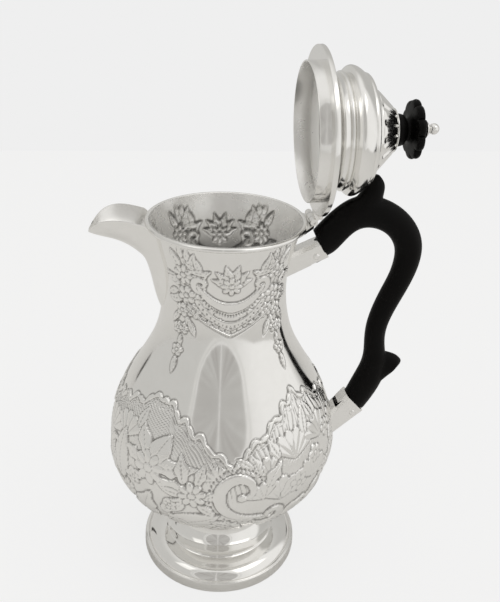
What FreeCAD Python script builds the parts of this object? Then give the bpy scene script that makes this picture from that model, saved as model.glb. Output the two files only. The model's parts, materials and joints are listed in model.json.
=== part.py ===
import FreeCAD, Part
import math
import os
from types import SimpleNamespace

import Sketcher
from FreeCAD import Placement, Rotation, Vector

# A silver hot-water jug with a hinged lid, chased on neck and belly, with an ebony scroll handle and finial.
# Millimetres. +Z is up, the jug's axis is Z, the spout points to -X, the handle to +X, and the origin is the
# centre of the foot's resting plane. The lid is drawn shut and then swung open about its hinge.

os.makedirs("parts", exist_ok=True)
doc = FreeCAD.newDocument("hot_water_jug")
sheet = doc.addObject("Spreadsheet::Sheet", "Sizes")

SIZES = {
    # overall
    "rim_height": 218.0,
    "rim_radius": 42.0,
    "rim_wire_width": 2.5,
    "sheet_wall": 0.8,
    # baluster body
    "belly_radius": 64.8,
    "neck_radius": 32.7,
    "bottom_height": 19.5,
    "pour_width": 20.0,
    "pour_sill_height": 195.0,
    # foot
    "foot_radius": 47.4,
    "foot_ring_height": 6.6,
    "foot_ring_width": 2.2,
    "foot_waist_radius": 22.5,
    "foot_waist_height": 27.0,
    "collet_width": 2.6,
    # spout
    "spout_reach": 69.9,
    "spout_width": 28.0,
    "spout_crown": 10.0,
    # handle and its sockets
    "handle_width": 13.0,
    "socket_width": 11.0,
    "socket_wall": 1.2,
    "tenon_depth": 10.0,
    "socket_pin_radius": 1.1,
    "socket_pin_head": 0.7,
    # hinge
    "hinge_out": 44.6,
    "hinge_drop": 0.5,
    "knuckle_radius": 1.9,
    "barrel_length": 16.0,
    "hinge_pin_radius": 0.9,
    "hinge_clearance": 0.05,
    "knuckle_gap": 0.3,
    "leaf_thick": 1.6,
    "lid_leaf_width": 14.0,
    "lid_open_angle": 88.0,
    # lid
    "lid_seat_gap": 0.3,
    "lid_radius": 41.4,
    "lid_edge_thick": 2.6,
    "bezel_radius": 34.4,
    "bezel_depth": 5.4,
    "lid_wire_radius": 28.9,
    "dome_radius": 31.7,
    "crown_radius": 10.9,
    "crown_height": 38.4,
    "gadroon_groove": 0.9,
    # finial
    "finial_base_radius": 7.6,
    "finial_radius": 15.0,
    "finial_height": 17.2,
    "finial_ball_radius": 2.8,
    "bolt_radius": 1.2,
    "nut_across": 5.5,
}
GADROONS = 14
PETALS = 10
LEAF_SPREAD = 29.0


class Dim:
    """A length: its value now, and the sheet expression that gives it."""

    def __init__(self, value, text=None):
        self.value = float(value)
        self.text = text or f"{value:.6g}"

    def join(self, other, sign, value):
        return Dim(value, f"({self.text} {sign} {as_dim(other).text})")

    def __add__(self, other):
        return self.join(other, "+", self.value + as_dim(other).value)

    def __sub__(self, other):
        return self.join(other, "-", self.value - as_dim(other).value)

    def __mul__(self, other):
        return self.join(other, "*", self.value * as_dim(other).value)

    def __truediv__(self, other):
        return self.join(other, "/", self.value / as_dim(other).value)

    def __neg__(self):
        return Dim(-self.value, f"(-1 * {self.text})")


def as_dim(number):
    return number if isinstance(number, Dim) else Dim(number)


for row, (word, size) in enumerate(SIZES.items(), start=1):
    sheet.set(f"A{row}", str(size))
    sheet.setAlias(f"A{row}", word)
doc.recompute()
at = SimpleNamespace(**{word: Dim(size, f"Sizes.{word}") for word, size in SIZES.items()})
NODES = []


# ---------- drawing helpers ----------

def keep(node):
    """The finished sub-part: its Label names its file."""
    NODES.append(node)
    return node


def bind(thing, **sizes):
    for name, size in sizes.items():
        thing.setExpression(name.replace("__", "."), as_dim(size).text)
    return thing


def new_body(label):
    body = doc.addObject("PartDesign::Body", label)
    body.Label = label
    return body


def new_sketch(body, name, role="XZ_Plane"):
    support = next(f for f in body.Origin.OriginFeatures if f.Role == role)
    sketch = body.newObject("Sketcher::SketchObject", name)
    sketch.AttachmentSupport = [(support, "")]
    sketch.MapMode = "FlatFace"
    return sketch


def fix_point(sketch, geometry, corner, across, up):
    """Holds one point of a sketch at its two driven distances from the sketch's origin."""
    for kind, size, axis in (("DistanceX", across, -2), ("DistanceY", up, -1)):
        if abs(size.value) < 1e-9:
            sketch.addConstraint(Sketcher.Constraint("PointOnObject", geometry, corner, axis))
            continue
        found = sketch.addConstraint(Sketcher.Constraint(kind, -1, 1, geometry, corner, size.value))
        sketch.setExpression(f"Constraints[{found}]", size.text)


def draw_outline(sketch, runs):
    """A closed outline. A run of two points is a straight edge; a longer one holds the poles of a curve.

    Each run starts where the run before it ends, and the last one ends where the first starts."""
    placed = [[(as_dim(across), as_dim(up)) for across, up in run] for run in runs]
    start_of, previous = None, None
    for number, run in enumerate(placed):
        whole = [Vector(across.value, up.value, 0) for across, up in run]
        last_run = number == len(placed) - 1
        if len(run) == 2:
            line = sketch.addGeometry(Part.LineSegment(whole[0], whole[1]), False)
            ends = ((line, 1), (line, 2))
            inner = []
        else:
            curve = Part.BSplineCurve()
            curve.buildFromPoles(whole, False, min(3, len(run) - 1))
            line = sketch.addGeometry(curve, False)
            sketch.exposeInternalGeometry(line)
            ends = ((line, 1), (line, 2))
            inner = [(line + 1 + k, 3, run[k]) for k in range(1, len(run) - 1)]
        if previous is None:
            fix_point(sketch, *ends[0], *run[0])
            start_of = ends[0]
        else:
            sketch.addConstraint(Sketcher.Constraint("Coincident", *previous, *ends[0]))
        for circle, centre, place in inner:
            fix_point(sketch, circle, centre, *place)
        if last_run:
            sketch.addConstraint(Sketcher.Constraint("Coincident", *ends[1], *start_of))
        else:
            fix_point(sketch, *ends[1], *run[-1])
        previous = ends[1]
    return sketch


def joined(*corners):
    """Straight runs through these corners and back to the first."""
    return [[corners[k], corners[(k + 1) % len(corners)]] for k in range(len(corners))]


def turned(label, runs):
    """A solid of revolution about Z, from an outline in the XZ plane."""
    body = new_body(label)
    sketch = draw_outline(new_sketch(body, f"{label}_profile"), runs)
    turn = body.newObject("PartDesign::Revolution", f"{label}_turn")
    turn.Profile = sketch
    turn.ReferenceAxis = (sketch, ["V_Axis"])
    turn.Angle = 360
    return body


def plate(label, runs, width, role="XZ_Plane"):
    """An outline in one plane, padded to this width either side of it."""
    body = new_body(label)
    sketch = draw_outline(new_sketch(body, f"{label}_outline", role), runs)
    pad = body.newObject("PartDesign::Pad", f"{label}_pad")
    pad.Profile = sketch
    pad.SideType = "Symmetric"
    bind(pad, Length=width)
    return body


def cylinder(label, radius, length, across, side, up, along=Vector(0, 1, 0)):
    """A Part::Cylinder centred on a point."""
    rod = doc.addObject("Part::Cylinder", label)
    rod.Label = label
    rod.Placement = Placement(Vector(0, 0, 0), Rotation(Vector(0, 0, 1), along))
    half = as_dim(length) * 0.5
    bind(rod, Radius=radius, Height=length)
    bind(rod, Placement__Base__x=as_dim(across) - half * along.x)
    bind(rod, Placement__Base__y=as_dim(side) - half * along.y)
    bind(rod, Placement__Base__z=as_dim(up) - half * along.z)
    return rod


def without(label, base, *tools):
    """The base with each tool cut away in turn."""
    for number, tool in enumerate(tools):
        cut = doc.addObject("Part::Cut", f"{label}_cut_{number}")
        cut.Base = base
        cut.Tool = tool
        base = cut
    base.Label = label
    return base


def together(label, *shapes):
    fuse = doc.addObject("Part::MultiFuse", f"{label}_fuse")
    fuse.Shapes = list(shapes)
    fuse.Label = label
    return fuse


def oval(label, across, up, long_width, side_width, angle):
    """An ellipse whose plane stands across the XZ plane: its long axis lies in XZ at this angle."""
    ring = doc.addObject("Part::Ellipse", label)
    turn = math.radians(angle)
    long_axis = Vector(math.cos(turn), 0, math.sin(turn))
    ring.Placement = Placement(Vector(0, 0, 0), Rotation(long_axis, Vector(0, 1, 0), Vector(), "XYZ"))
    ring.MajorRadius = 1e3
    bind(ring, MinorRadius=as_dim(side_width) * 0.5, MajorRadius=as_dim(long_width) * 0.5)
    bind(ring, Placement__Base__x=across, Placement__Base__z=up)
    return ring


def lofted(label, rings, ruled=False):
    loft = doc.addObject("Part::Loft", label)
    loft.Sections = rings
    loft.Solid = True
    loft.Ruled = ruled
    loft.Label = label
    return loft


def swing(node):
    """Turns a lid piece, drawn shut, to where the open lid holds it."""
    out, up, turn = at.hinge_out, hinge_height, "Sizes.lid_open_angle * 1deg"
    node.Placement = Placement(Vector(), Rotation(Vector(0, 1, 0), SIZES["lid_open_angle"]))
    node.setExpression("Placement.Rotation.Angle", turn)
    node.setExpression(
        "Placement.Base.x", f"{out.text} - {out.text} * cos({turn}) - {up.text} * sin({turn})")
    node.setExpression(
        "Placement.Base.z", f"{up.text} + {out.text} * sin({turn}) - {up.text} * cos({turn})")
    return keep(node)


# ---------- levels that several pieces share ----------

wire_half = at.rim_wire_width * 0.5
wire_centre_radius = at.rim_radius - wire_half
wire_centre_height = at.rim_height - wire_half
lip_radius = wire_centre_radius - wire_half * 0.7
lip_height = at.rim_height - 0.4
hinge_height = at.rim_height - at.hinge_drop
lid_seat = at.rim_height + at.lid_seat_gap


# ---------- body, rim wire and spout ----------

def body_poles():
    """Poles of the baluster's outer curve, from the middle of the bottom up to the lip."""
    rise = lip_height - at.bottom_height

    def level(share):
        return at.bottom_height + rise * share

    return [
        (Dim(0), at.bottom_height),
        (at.foot_waist_radius * 1.09, level(0.008)),
        (at.belly_radius * 0.56, level(0.144)),
        (at.belly_radius * 0.901, level(0.187)),
        (at.belly_radius * 1.026, level(0.320)),
        (at.belly_radius * 0.968, level(0.435)),
        (at.belly_radius * 0.804, level(0.545)),
        (at.neck_radius * 1.187, level(0.646)),
        (at.neck_radius * 0.991, level(0.760)),
        (at.neck_radius * 0.991, level(0.885)),
        (lip_radius, lip_height),
    ]


def inside_poles(outer):
    """The same poles moved inwards by the wall, square to the curve."""
    inner = [(Dim(0), at.bottom_height + at.sheet_wall)]
    for before, here, after in zip(outer, outer[1:], outer[2:]):
        run = Vector(after[0].value - before[0].value, after[1].value - before[1].value, 0).normalize()
        inner.append((here[0] - at.sheet_wall * run.y, here[1] + at.sheet_wall * run.x))
    inner.append((lip_radius - at.sheet_wall, lip_height))
    return inner


outer = body_poles()
envelope = turned("body_envelope", [
    outer,
    [(lip_radius, lip_height), (0, lip_height)],
    [(0, lip_height), (0, at.bottom_height)],
])
inner = inside_poles(outer)
above_lip = lip_height + at.rim_wire_width
bowl = turned("body_inside", [
    inner,
    [inner[-1], (inner[-1][0], above_lip)],
    [(inner[-1][0], above_lip), (0, above_lip)],
    [(0, above_lip), (0, at.bottom_height + at.sheet_wall)],
])

pour_half = at.pour_width * 0.5
pour_top = at.rim_height - at.rim_wire_width - 1.0
pour_bend = at.pour_sill_height + pour_half
pour_window = plate("pour_window", [
    [(-pour_half, pour_top), (-pour_half, pour_bend)],
    [(-pour_half, pour_bend), (-pour_half, at.pour_sill_height), (pour_half, at.pour_sill_height),
     (pour_half, pour_bend)],
    [(pour_half, pour_bend), (pour_half, pour_top)],
    [(pour_half, pour_top), (-pour_half, pour_top)],
], at.rim_radius, "YZ_Plane")
bind(pour_window, Placement__Base__x=-at.rim_radius)

rim_ring = doc.addObject("Part::Torus", "rim_ring")
bind(rim_ring, Radius1=wire_centre_radius, Radius2=wire_half, Placement__Base__z=wire_centre_height)

keep(without("body", envelope, bowl, pour_window))
keep(without("rim_wire", rim_ring, envelope))


def spout_horn(label, inset):
    """The beak as a horn of upright ovals, from inside the neck to the rounded tip."""
    line = at.rim_height + at.spout_crown
    half = at.spout_width * 0.5
    # how far out each section stands, how deep it hangs under the crown line, and its half-width
    stations = [
        (at.neck_radius * 0.92, line - at.rim_height * 0.731, half * 0.93),
        (at.neck_radius * 1.10, line - at.rim_height * 0.780, half * 0.95),
        (at.neck_radius * 1.17, line - at.rim_height * 0.845, half * 0.98),
        (at.neck_radius * 1.26, line - at.rim_height * 0.900, half),
        (at.spout_reach - 26.0, at.spout_crown + 18.5, half),
        (at.spout_reach - 19.0, at.spout_crown + 12.6, half),
        (at.spout_reach - 12.0, at.spout_crown + 9.8, half * 0.97),
        (at.spout_reach - 6.0, at.spout_crown + 8.7, half * 0.81),
        (at.spout_reach - 2.0, at.spout_crown + 7.8, half * 0.49),
        (at.spout_reach, at.spout_crown + 7.0, half * 0.22),
    ]
    rings = []
    for number, (out, deep, wide) in enumerate(stations):
        tip = number == len(stations) - 1
        across = out - inset if tip else out
        rings.append(oval(f"{label}_{number}", -across, line, (deep - inset) * 2,
                          wide * 1.6 - inset if tip else (wide - inset) * 2, 90.0))
    return lofted(label, rings, ruled=True)


def spout_sky():
    """Everything above the spout's two edges: they rise from the rim, run level and dip to the tip."""
    top = at.rim_height
    far = at.spout_reach + 10
    roof = top * 1.3 + at.spout_crown * 3
    inner_edge = -(wire_centre_radius - wire_half)
    under_lip = lip_height - 1
    return plate("spout_sky", [
        [(Dim(0), under_lip), (inner_edge, under_lip)],
        [(inner_edge, under_lip), (-at.rim_radius, top + 0.9)],
        [(-at.rim_radius, top + 0.9), (-(at.spout_reach - 22), top + 2.6), (-(at.spout_reach - 12), top + 5.0),
         (-(at.spout_reach - 3.5), top + 0.5), (-(at.spout_reach + 0.5), top - 6.5)],
        [(-(at.spout_reach + 0.5), top - 6.5), (-far, top - 10)],
        [(-far, top - 10), (-far, roof)],
        [(-far, roof), (Dim(0), roof)],
        [(Dim(0), roof), (Dim(0), under_lip)],
    ], at.spout_width * 2)


keep(without(
    "spout", spout_horn("spout_outside", Dim(0)), spout_horn("spout_inside", at.sheet_wall), spout_sky(),
    envelope, rim_ring))


# ---------- foot ----------

step_height = at.foot_ring_height + 0.4
ovolo_radius = at.foot_radius * 0.707
ovolo_height = at.foot_waist_height * 0.49
ledge_height = ovolo_height + 1.2
sheet_in = at.sheet_wall * 1.1
waist_top = at.foot_waist_height + 4
foot_blank = turned("foot_blank", [
    [(at.foot_radius - at.foot_ring_width, at.foot_ring_height), (at.foot_radius - 0.9, at.foot_ring_height)],
    [(at.foot_radius - 0.9, at.foot_ring_height), (at.foot_radius - 2.1, step_height)],
    [(at.foot_radius - 2.1, step_height), (at.foot_radius * 0.91, ovolo_height * 0.90),
     (at.foot_radius * 0.81, ovolo_height * 0.98), (ovolo_radius, ovolo_height)],
    [(ovolo_radius, ovolo_height), (ovolo_radius - 0.5, ledge_height)],
    [(ovolo_radius - 0.5, ledge_height), (ovolo_radius - 1.7, ledge_height + 0.2)],
    [(ovolo_radius - 1.7, ledge_height + 0.2), (at.foot_waist_radius * 1.20, ledge_height + 1.0),
     (at.foot_waist_radius, at.foot_waist_height * 0.76), (at.foot_waist_radius, at.foot_waist_height)],
    [(at.foot_waist_radius, at.foot_waist_height), (at.foot_waist_radius, waist_top)],
    [(at.foot_waist_radius, waist_top), (at.foot_waist_radius - sheet_in, waist_top)],
    [(at.foot_waist_radius - sheet_in, waist_top), (at.foot_waist_radius - sheet_in, at.foot_waist_height)],
    [(at.foot_waist_radius - sheet_in, at.foot_waist_height),
     (at.foot_waist_radius - sheet_in, at.foot_waist_height * 0.72),
     (at.foot_waist_radius * 1.16, ledge_height + 0.1), (ovolo_radius - 1.8, ledge_height - 1.0)],
    [(ovolo_radius - 1.8, ledge_height - 1.0), (at.foot_radius * 0.80, ovolo_height * 0.86),
     (at.foot_radius * 0.89, ovolo_height * 0.80),
     (at.foot_radius - at.foot_ring_width - 1.2, at.foot_ring_height + 0.2)],
    [(at.foot_radius - at.foot_ring_width - 1.2, at.foot_ring_height + 0.2),
     (at.foot_radius - at.foot_ring_width, at.foot_ring_height)],
])
keep(turned("foot_base_ring", joined(
    (at.foot_radius - at.foot_ring_width, Dim(0)),
    (at.foot_radius, Dim(0)),
    (at.foot_radius - 0.1, at.foot_ring_height * 0.35),
    (at.foot_radius - 0.6, at.foot_ring_height),
    (at.foot_radius - at.foot_ring_width, at.foot_ring_height),
)))
keep(without("foot", foot_blank, envelope))

collet_ring = doc.addObject("Part::Torus", "collet_ring")
bind(collet_ring, Radius1=at.foot_waist_radius + 0.4, Radius2=at.collet_width * 0.5,
     Placement__Base__z=at.foot_waist_height)
foot_core = cylinder("foot_core", at.foot_waist_radius, at.foot_waist_height * 2, 0, 0, at.foot_waist_height,
                     Vector(0, 0, 1))
keep(without("foot_collet", collet_ring, envelope, foot_core, foot_blank))


# ---------- handle, its sockets and their pins ----------

# The handle fits a hand, so it keeps its shape. It is drawn beside a jug of this radius and height, and
# moves with the belly and the rim as they change.
DRAWN_BELLY = 64.8
DRAWN_RIM = 218.0


def beside(out, up):
    """A point of the handle's plane: it keeps its distance from the belly and from the rim's height."""
    return at.belly_radius + (out - DRAWN_BELLY), at.rim_height + (up - DRAWN_RIM)


# each socket's mouth: its low corner and its high one
UPPER_MOUTH = [(55.0, 196.4), (48.4, 205.3)]
LOWER_MOUTH = [(84.1, 95.9), (73.2, 107.8)]


def mouth_section(mouth, deep, past_low):
    """The wood's flat end on a socket's mouth, from just past the mouth's low corner."""
    low, high = (Vector(out, up, 0) for out, up in mouth)
    along = (high - low).normalize()
    middle = low + along * (deep * 0.5 - past_low)
    return middle.x, middle.y, deep, math.degrees(math.atan2(along.y, along.x))


# out, up, depth in the plane and the angle of the section's long side
HANDLE_SECTIONS = [
    mouth_section(UPPER_MOUTH, 16.4, 0.6),
    (55.6, 208.0, 18.6, 117.0),
    (60.6, 214.4, 18.8, 110.0),
    (66.0, 218.2, 18.4, 101.0),
    (72.0, 220.1, 17.9, 91.0),
    (78.6, 219.8, 17.0, 80.0),
    (85.1, 217.6, 16.0, 66.0),
    (91.4, 213.6, 15.4, 50.0),
    (96.4, 207.9, 15.2, 34.0),
    (99.2, 201.0, 14.8, 16.0),
    (100.0, 193.6, 14.2, 0.0),
    (98.2, 184.0, 13.6, -13.0),
    (93.1, 170.6, 13.2, -19.0),
    (88.4, 157.0, 12.2, -10.0),
    (86.7, 146.0, 11.8, 0.0),
    (88.0, 135.6, 12.6, 4.0),
    (88.6, 126.5, 15.0, -8.0),
    (86.6, 118.6, 16.6, -21.0),
    (83.2, 110.2, 17.0, -34.0),
    mouth_section(LOWER_MOUTH[::-1], 17.6, 0.7),
]
THUMB_SPUR = [(74.0, 226.0, 15.5, 0.0), (76.0, 230.2, 12.4, 0.0), (77.2, 233.8, 10.0, 0.0),
              (77.4, 236.9, 7.2, 0.0), (76.7, 239.7, 2.4, 0.0)]
HEEL_SPUR = [(90.0, 124.5, 22.5, 90.0), (96.0, 125.2, 16.0, 84.0), (100.0, 125.2, 9.4, 80.0),
             (102.7, 125.0, 4.0, 80.0)]


def carved(label, sections, widest):
    """A carved length of ebony: ovals along a line, never wider than they are deep."""
    rings = []
    for number, (out, up, deep, angle) in enumerate(sections):
        across, rise = beside(out, up)
        share = min(1.0, 0.93 * deep / widest.value)
        rings.append(oval(f"{label}_{number}", across, rise, Dim(deep), widest * share, angle))
    return lofted(label, rings)


def quad(corners):
    return joined(*[beside(out, up) for out, up in corners])


def socket_set(where, tenon_corners, sleeve_corners, width, pin_out, pin_up):
    """The square sleeve, the tenon that fills its mouth and the pin across both."""
    blank = plate(f"{where}_sleeve", quad(sleeve_corners), width)
    doc.recompute()
    pad = blank.Tip
    long_edges = []
    for number, edge in enumerate(blank.Shape.Edges, start=1):
        ends = [vertex.Point for vertex in edge.Vertexes]
        if abs(ends[0].y - ends[1].y) < 1e-6 and edge.Length > 20:
            long_edges.append(f"Edge{number}")
    bevel = blank.newObject("PartDesign::Chamfer", f"{where}_bevel")
    bevel.Base = (pad, long_edges)
    bind(bevel, Size=at.socket_wall * 1.5)
    tenon = plate(f"{where}_tenon", quad(tenon_corners), width - at.socket_wall * 2)
    half = width * 0.5
    head = at.socket_pin_radius * 1.6
    pin = turned(f"{where}_socket_pin", [
        [(Dim(0), -half - at.socket_pin_head), (head * 0.75, -half - at.socket_pin_head),
         (head, -half - at.socket_pin_head * 0.5), (head, -half)],
        [(head, -half), (at.socket_pin_radius, -half)],
        [(at.socket_pin_radius, -half), (at.socket_pin_radius, half)],
        [(at.socket_pin_radius, half), (head, half)],
        [(head, half), (head, half + at.socket_pin_head * 0.5), (head * 0.75, half + at.socket_pin_head),
         (Dim(0), half + at.socket_pin_head)],
        [(Dim(0), half + at.socket_pin_head), (Dim(0), -half - at.socket_pin_head)],
    ])
    across, rise = beside(pin_out, pin_up)
    pin.Placement = Placement(Vector(), Rotation(Vector(1, 0, 0), 90))
    bind(pin, Placement__Base__x=across, Placement__Base__z=rise)
    return blank, tenon, pin


def inward(mouth, depth, margin):
    """Corners of a tenon that runs this far in from a socket's mouth, this much narrower each side.

    It starts a little outside the mouth, inside the wood that it is one piece with."""
    low, high = (Vector(out, up, 0) for out, up in mouth)
    along = (high - low).normalize()
    into = Vector(-along.y, along.x, 0)
    low, high = low + along * margin, high - along * margin
    ends = [low - into * 2, low + into * depth, high + into * depth, high - into * 2]
    return [(corner.x, corner.y) for corner in ends]


upper_sleeve = [UPPER_MOUTH[0], (16.0, 176.5), (16.0, 190.3), UPPER_MOUTH[1]]
lower_sleeve = [LOWER_MOUTH[0], (59.0, 73.0), (54.0, 83.4), LOWER_MOUTH[1]]
tenon_deep = SIZES["tenon_depth"]
tenon_margin = SIZES["socket_wall"]
upper_blank, upper_tenon, upper_pin = socket_set(
    "upper", inward(UPPER_MOUTH, tenon_deep, tenon_margin), upper_sleeve, at.socket_width, 47.8, 197.6)
lower_blank, lower_tenon, lower_pin = socket_set(
    "lower", inward(LOWER_MOUTH, tenon_deep, tenon_margin), lower_sleeve, at.socket_width + 1, 77.2, 95.9)
keep(without("upper_handle_socket", upper_blank, envelope, upper_tenon, upper_pin))
keep(without("lower_handle_socket", lower_blank, envelope, lower_tenon, lower_pin))
keep(upper_pin)
keep(lower_pin)
handle_blank = together(
    "handle_blank", carved("handle_scroll", HANDLE_SECTIONS, at.handle_width),
    carved("handle_thumb_spur", THUMB_SPUR, at.handle_width * 0.85),
    carved("handle_heel_spur", HEEL_SPUR, at.handle_width * 0.9), upper_tenon, lower_tenon)
keep(without("handle", handle_blank, upper_pin, lower_pin))


# ---------- hinge ----------

spread = math.radians(LEAF_SPREAD)
barrel_half = at.barrel_length * 0.5
lid_knuckle_half = at.barrel_length / 6
notch_half = lid_knuckle_half + at.knuckle_gap
leaf_foot = (wire_centre_radius * math.cos(spread), wire_centre_radius * math.sin(spread))
leaf_plate = plate("body_leaf_plate", joined(
    (leaf_foot[0], -leaf_foot[1]),
    (at.hinge_out, -barrel_half),
    (at.hinge_out, barrel_half),
    (leaf_foot[0], leaf_foot[1]),
    (at.rim_radius * 0.6, Dim(0)),
), at.leaf_thick, "XY_Plane")
bind(leaf_plate, Placement__Base__z=hinge_height - at.knuckle_radius - at.leaf_thick * 0.2)


def knuckle(label, radius, length, side=Dim(0)):
    return cylinder(label, radius, length, at.hinge_out, side, hinge_height)


outer_length = barrel_half - notch_half
outer_middle = (barrel_half + notch_half) * 0.5
body_knuckles = [knuckle("near_knuckle", at.knuckle_radius, outer_length, -outer_middle),
                 knuckle("far_knuckle", at.knuckle_radius, outer_length, outer_middle)]
lid_way = knuckle("lid_knuckle_way", at.knuckle_radius + at.knuckle_gap, notch_half * 2)
pin_length = at.barrel_length - 1.6
keep(without("body_hinge_leaf", together("body_leaf_blank", leaf_plate, *body_knuckles), lid_way,
             envelope, rim_ring, knuckle("pin_seat", at.hinge_pin_radius, at.barrel_length * 1.1)))
keep(knuckle("hinge_pin", at.hinge_pin_radius, pin_length))


# ---------- lid, drawn shut ----------

def over(radius, up):
    """A point of the lid's profile, up from the flange's underside."""
    return as_dim(radius), lid_seat + up


cove_top = at.crown_height * 0.271
wire_top = cove_top + 2.4
throat = at.lid_wire_radius - 0.8


def flange_outside():
    """The flange's upright edge and the ogee that climbs from it to the throat."""
    edge = at.lid_edge_thick
    return [
        [over(at.lid_radius, 0), over(at.lid_radius, edge)],
        [over(at.lid_radius, edge), over(at.lid_radius - 4.2, edge + 0.4), over(at.lid_radius - 6.9, edge + 1.8),
         over(throat + 3.4, edge + 2.9), over(throat + 0.5, cove_top - 3), over(throat, cove_top)],
    ]


swing(turned("lid_flange", flange_outside() + [
    [over(throat, cove_top), over(throat - at.sheet_wall, cove_top)],
    [over(throat - at.sheet_wall, cove_top), over(throat - 0.6, cove_top - 3.6),
     over(throat + 2.9, at.lid_edge_thick + 1.7), over(at.bezel_radius - 0.8, at.lid_edge_thick + 0.7),
     over(at.bezel_radius, at.lid_edge_thick - 0.8)],
    [over(at.bezel_radius, at.lid_edge_thick - 0.8), over(at.bezel_radius, 0)],
    [over(at.bezel_radius, 0), over(at.lid_radius, 0)],
]))
swing(turned("lid_bezel", joined(
    over(at.bezel_radius - at.sheet_wall, -at.bezel_depth), over(at.bezel_radius, -at.bezel_depth),
    over(at.bezel_radius, at.lid_edge_thick - 0.8),
    over(at.bezel_radius - at.sheet_wall, at.lid_edge_thick - 0.8))))
swing(turned("lid_wire", [
    [over(throat - at.sheet_wall, cove_top), over(throat, cove_top)],
    [over(throat, cove_top), over(throat + 1.1, cove_top + 0.2), over(throat + 1.1, wire_top - 0.2),
     over(throat, wire_top)],
    [over(throat, wire_top), over(throat - at.sheet_wall, wire_top)],
    [over(throat - at.sheet_wall, wire_top), over(throat - at.sheet_wall, cove_top)],
]))

bulge_height = at.crown_height * 0.445
bulge_top = at.crown_height * 0.596
shoulder = at.crown_height * 0.660
gadroon_foot = at.crown_height * 0.745
wall = at.sheet_wall
dome_blank = turned("dome_blank", [
    [over(throat, wire_top), over(at.dome_radius - 0.2, bulge_height - 2.8),
     over(at.dome_radius + 1.0, bulge_height + 0.2), over(throat + 1.8, bulge_top - 1.9), over(throat, bulge_top)],
    [over(throat, bulge_top), over(throat, bulge_top + 1.2)],
    [over(throat, bulge_top + 1.2), over(throat - 1.9, shoulder)],
    [over(throat - 1.9, shoulder), over(throat - 6.6, shoulder + 0.5), over(throat - 7.9, gadroon_foot)],
    [over(throat - 7.9, gadroon_foot), over(throat - 10.5, gadroon_foot + 3.2),
     over(at.crown_radius + 2.4, at.crown_height - 2.6), over(at.crown_radius, at.crown_height)],
    [over(at.crown_radius, at.crown_height), over(at.bolt_radius, at.crown_height)],
    [over(at.bolt_radius, at.crown_height), over(at.bolt_radius, at.crown_height - wall)],
    [over(at.bolt_radius, at.crown_height - wall), over(at.crown_radius - wall, at.crown_height - wall)],
    [over(at.crown_radius - wall, at.crown_height - wall), over(at.crown_radius + 1.2, at.crown_height - 3.6),
     over(throat - 11.7, gadroon_foot + 2.4), over(throat - 9.2, gadroon_foot - 0.8)],
    [over(throat - 9.2, gadroon_foot - 0.8), over(throat - 7.5, shoulder - 0.7), over(throat - 2.6, shoulder - 1.0)],
    [over(throat - 2.6, shoulder - 1.0), over(throat - wall, bulge_top)],
    [over(throat - wall, bulge_top), over(throat + 0.6, bulge_top - 2.2),
     over(at.dome_radius - 0.2, bulge_height + 0.1), over(at.dome_radius - 1.4, bulge_height - 2.5),
     over(throat - wall, wire_top)],
    [over(throat - wall, wire_top), over(throat, wire_top)],
])


def gadroon_grooves():
    """The grooves between the crown's lobes: one slanting rod for each, laid on the cone."""
    low = (throat - 7.4, lid_seat + gadroon_foot - 0.3)
    high = (at.crown_radius + 0.8, lid_seat + at.crown_height - 0.2)
    slope = Vector(high[0].value - low[0].value, 0, high[1].value - low[1].value)
    rods = []
    for number in range(GADROONS):
        turn = Rotation(Vector(0, 0, 1), 360.0 * number / GADROONS)
        along = turn.multVec(slope).normalize()
        middle = (low[0] + high[0]) * 0.5 + 0.25
        outward = turn.multVec(Vector(1, 0, 0))
        rods.append(cylinder(f"groove_{number}", at.gadroon_groove, slope.Length + 0.6, middle * outward.x,
                             middle * outward.y, (low[1] + high[1]) * 0.5, along))
    return together("gadroon_grooves", *rods)


swing(without("lid_dome", dome_blank, gadroon_grooves()))

leaf_top = at.lid_edge_thick + 1.4
leaf_back = at.lid_radius - 5
bend = at.knuckle_radius
lid_strap = plate("lid_strap", [
    [over(leaf_back, at.lid_edge_thick * 0.5), over(leaf_back, leaf_top)],
    [over(leaf_back, leaf_top), over(at.hinge_out - 2.2, leaf_top)],
    [over(at.hinge_out - 2.2, leaf_top), over(at.hinge_out + bend * 0.6, leaf_top - 0.2),
     (at.hinge_out + bend, hinge_height + 1.6), (at.hinge_out + bend, hinge_height)],
    [(at.hinge_out + bend, hinge_height), (at.hinge_out, hinge_height)],
    [(at.hinge_out, hinge_height), over(at.hinge_out - bend * 0.8, 0.1)],
    [over(at.hinge_out - bend * 0.8, 0.1), over(at.lid_radius - 1, 0.1)],
    [over(at.lid_radius - 1, 0.1), over(leaf_back, at.lid_edge_thick * 0.5)],
], lid_knuckle_half * 2)
lid_tab = plate("lid_tab", [
    [over(leaf_back, at.lid_edge_thick * 0.5), over(leaf_back, leaf_top)],
    [over(leaf_back, leaf_top), over(at.hinge_out - 2.4, leaf_top)],
    [over(at.hinge_out - 2.4, leaf_top), over(at.hinge_out - 0.6, leaf_top - 0.4),
     over(at.hinge_out - 1.0, leaf_top - 1.6)],
    [over(at.hinge_out - 1.0, leaf_top - 1.6), over(at.lid_radius - 1, leaf_top - 2.2)],
    [over(at.lid_radius - 1, leaf_top - 2.2), over(leaf_back, at.lid_edge_thick * 0.5)],
], at.lid_leaf_width)
knuckle_way = knuckle("body_knuckle_way", at.knuckle_radius + at.knuckle_gap, at.lid_leaf_width * 1.2)
strap = together("lid_strap_and_knuckle", lid_strap,
                 knuckle("lid_knuckle", at.knuckle_radius, lid_knuckle_half * 2))
lid_hole = knuckle("lid_pin_bore", at.hinge_pin_radius + at.hinge_clearance, at.barrel_length)
leaf_blank = together("lid_leaf_blank", strap, without("lid_tab_clear", lid_tab, knuckle_way))
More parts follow.
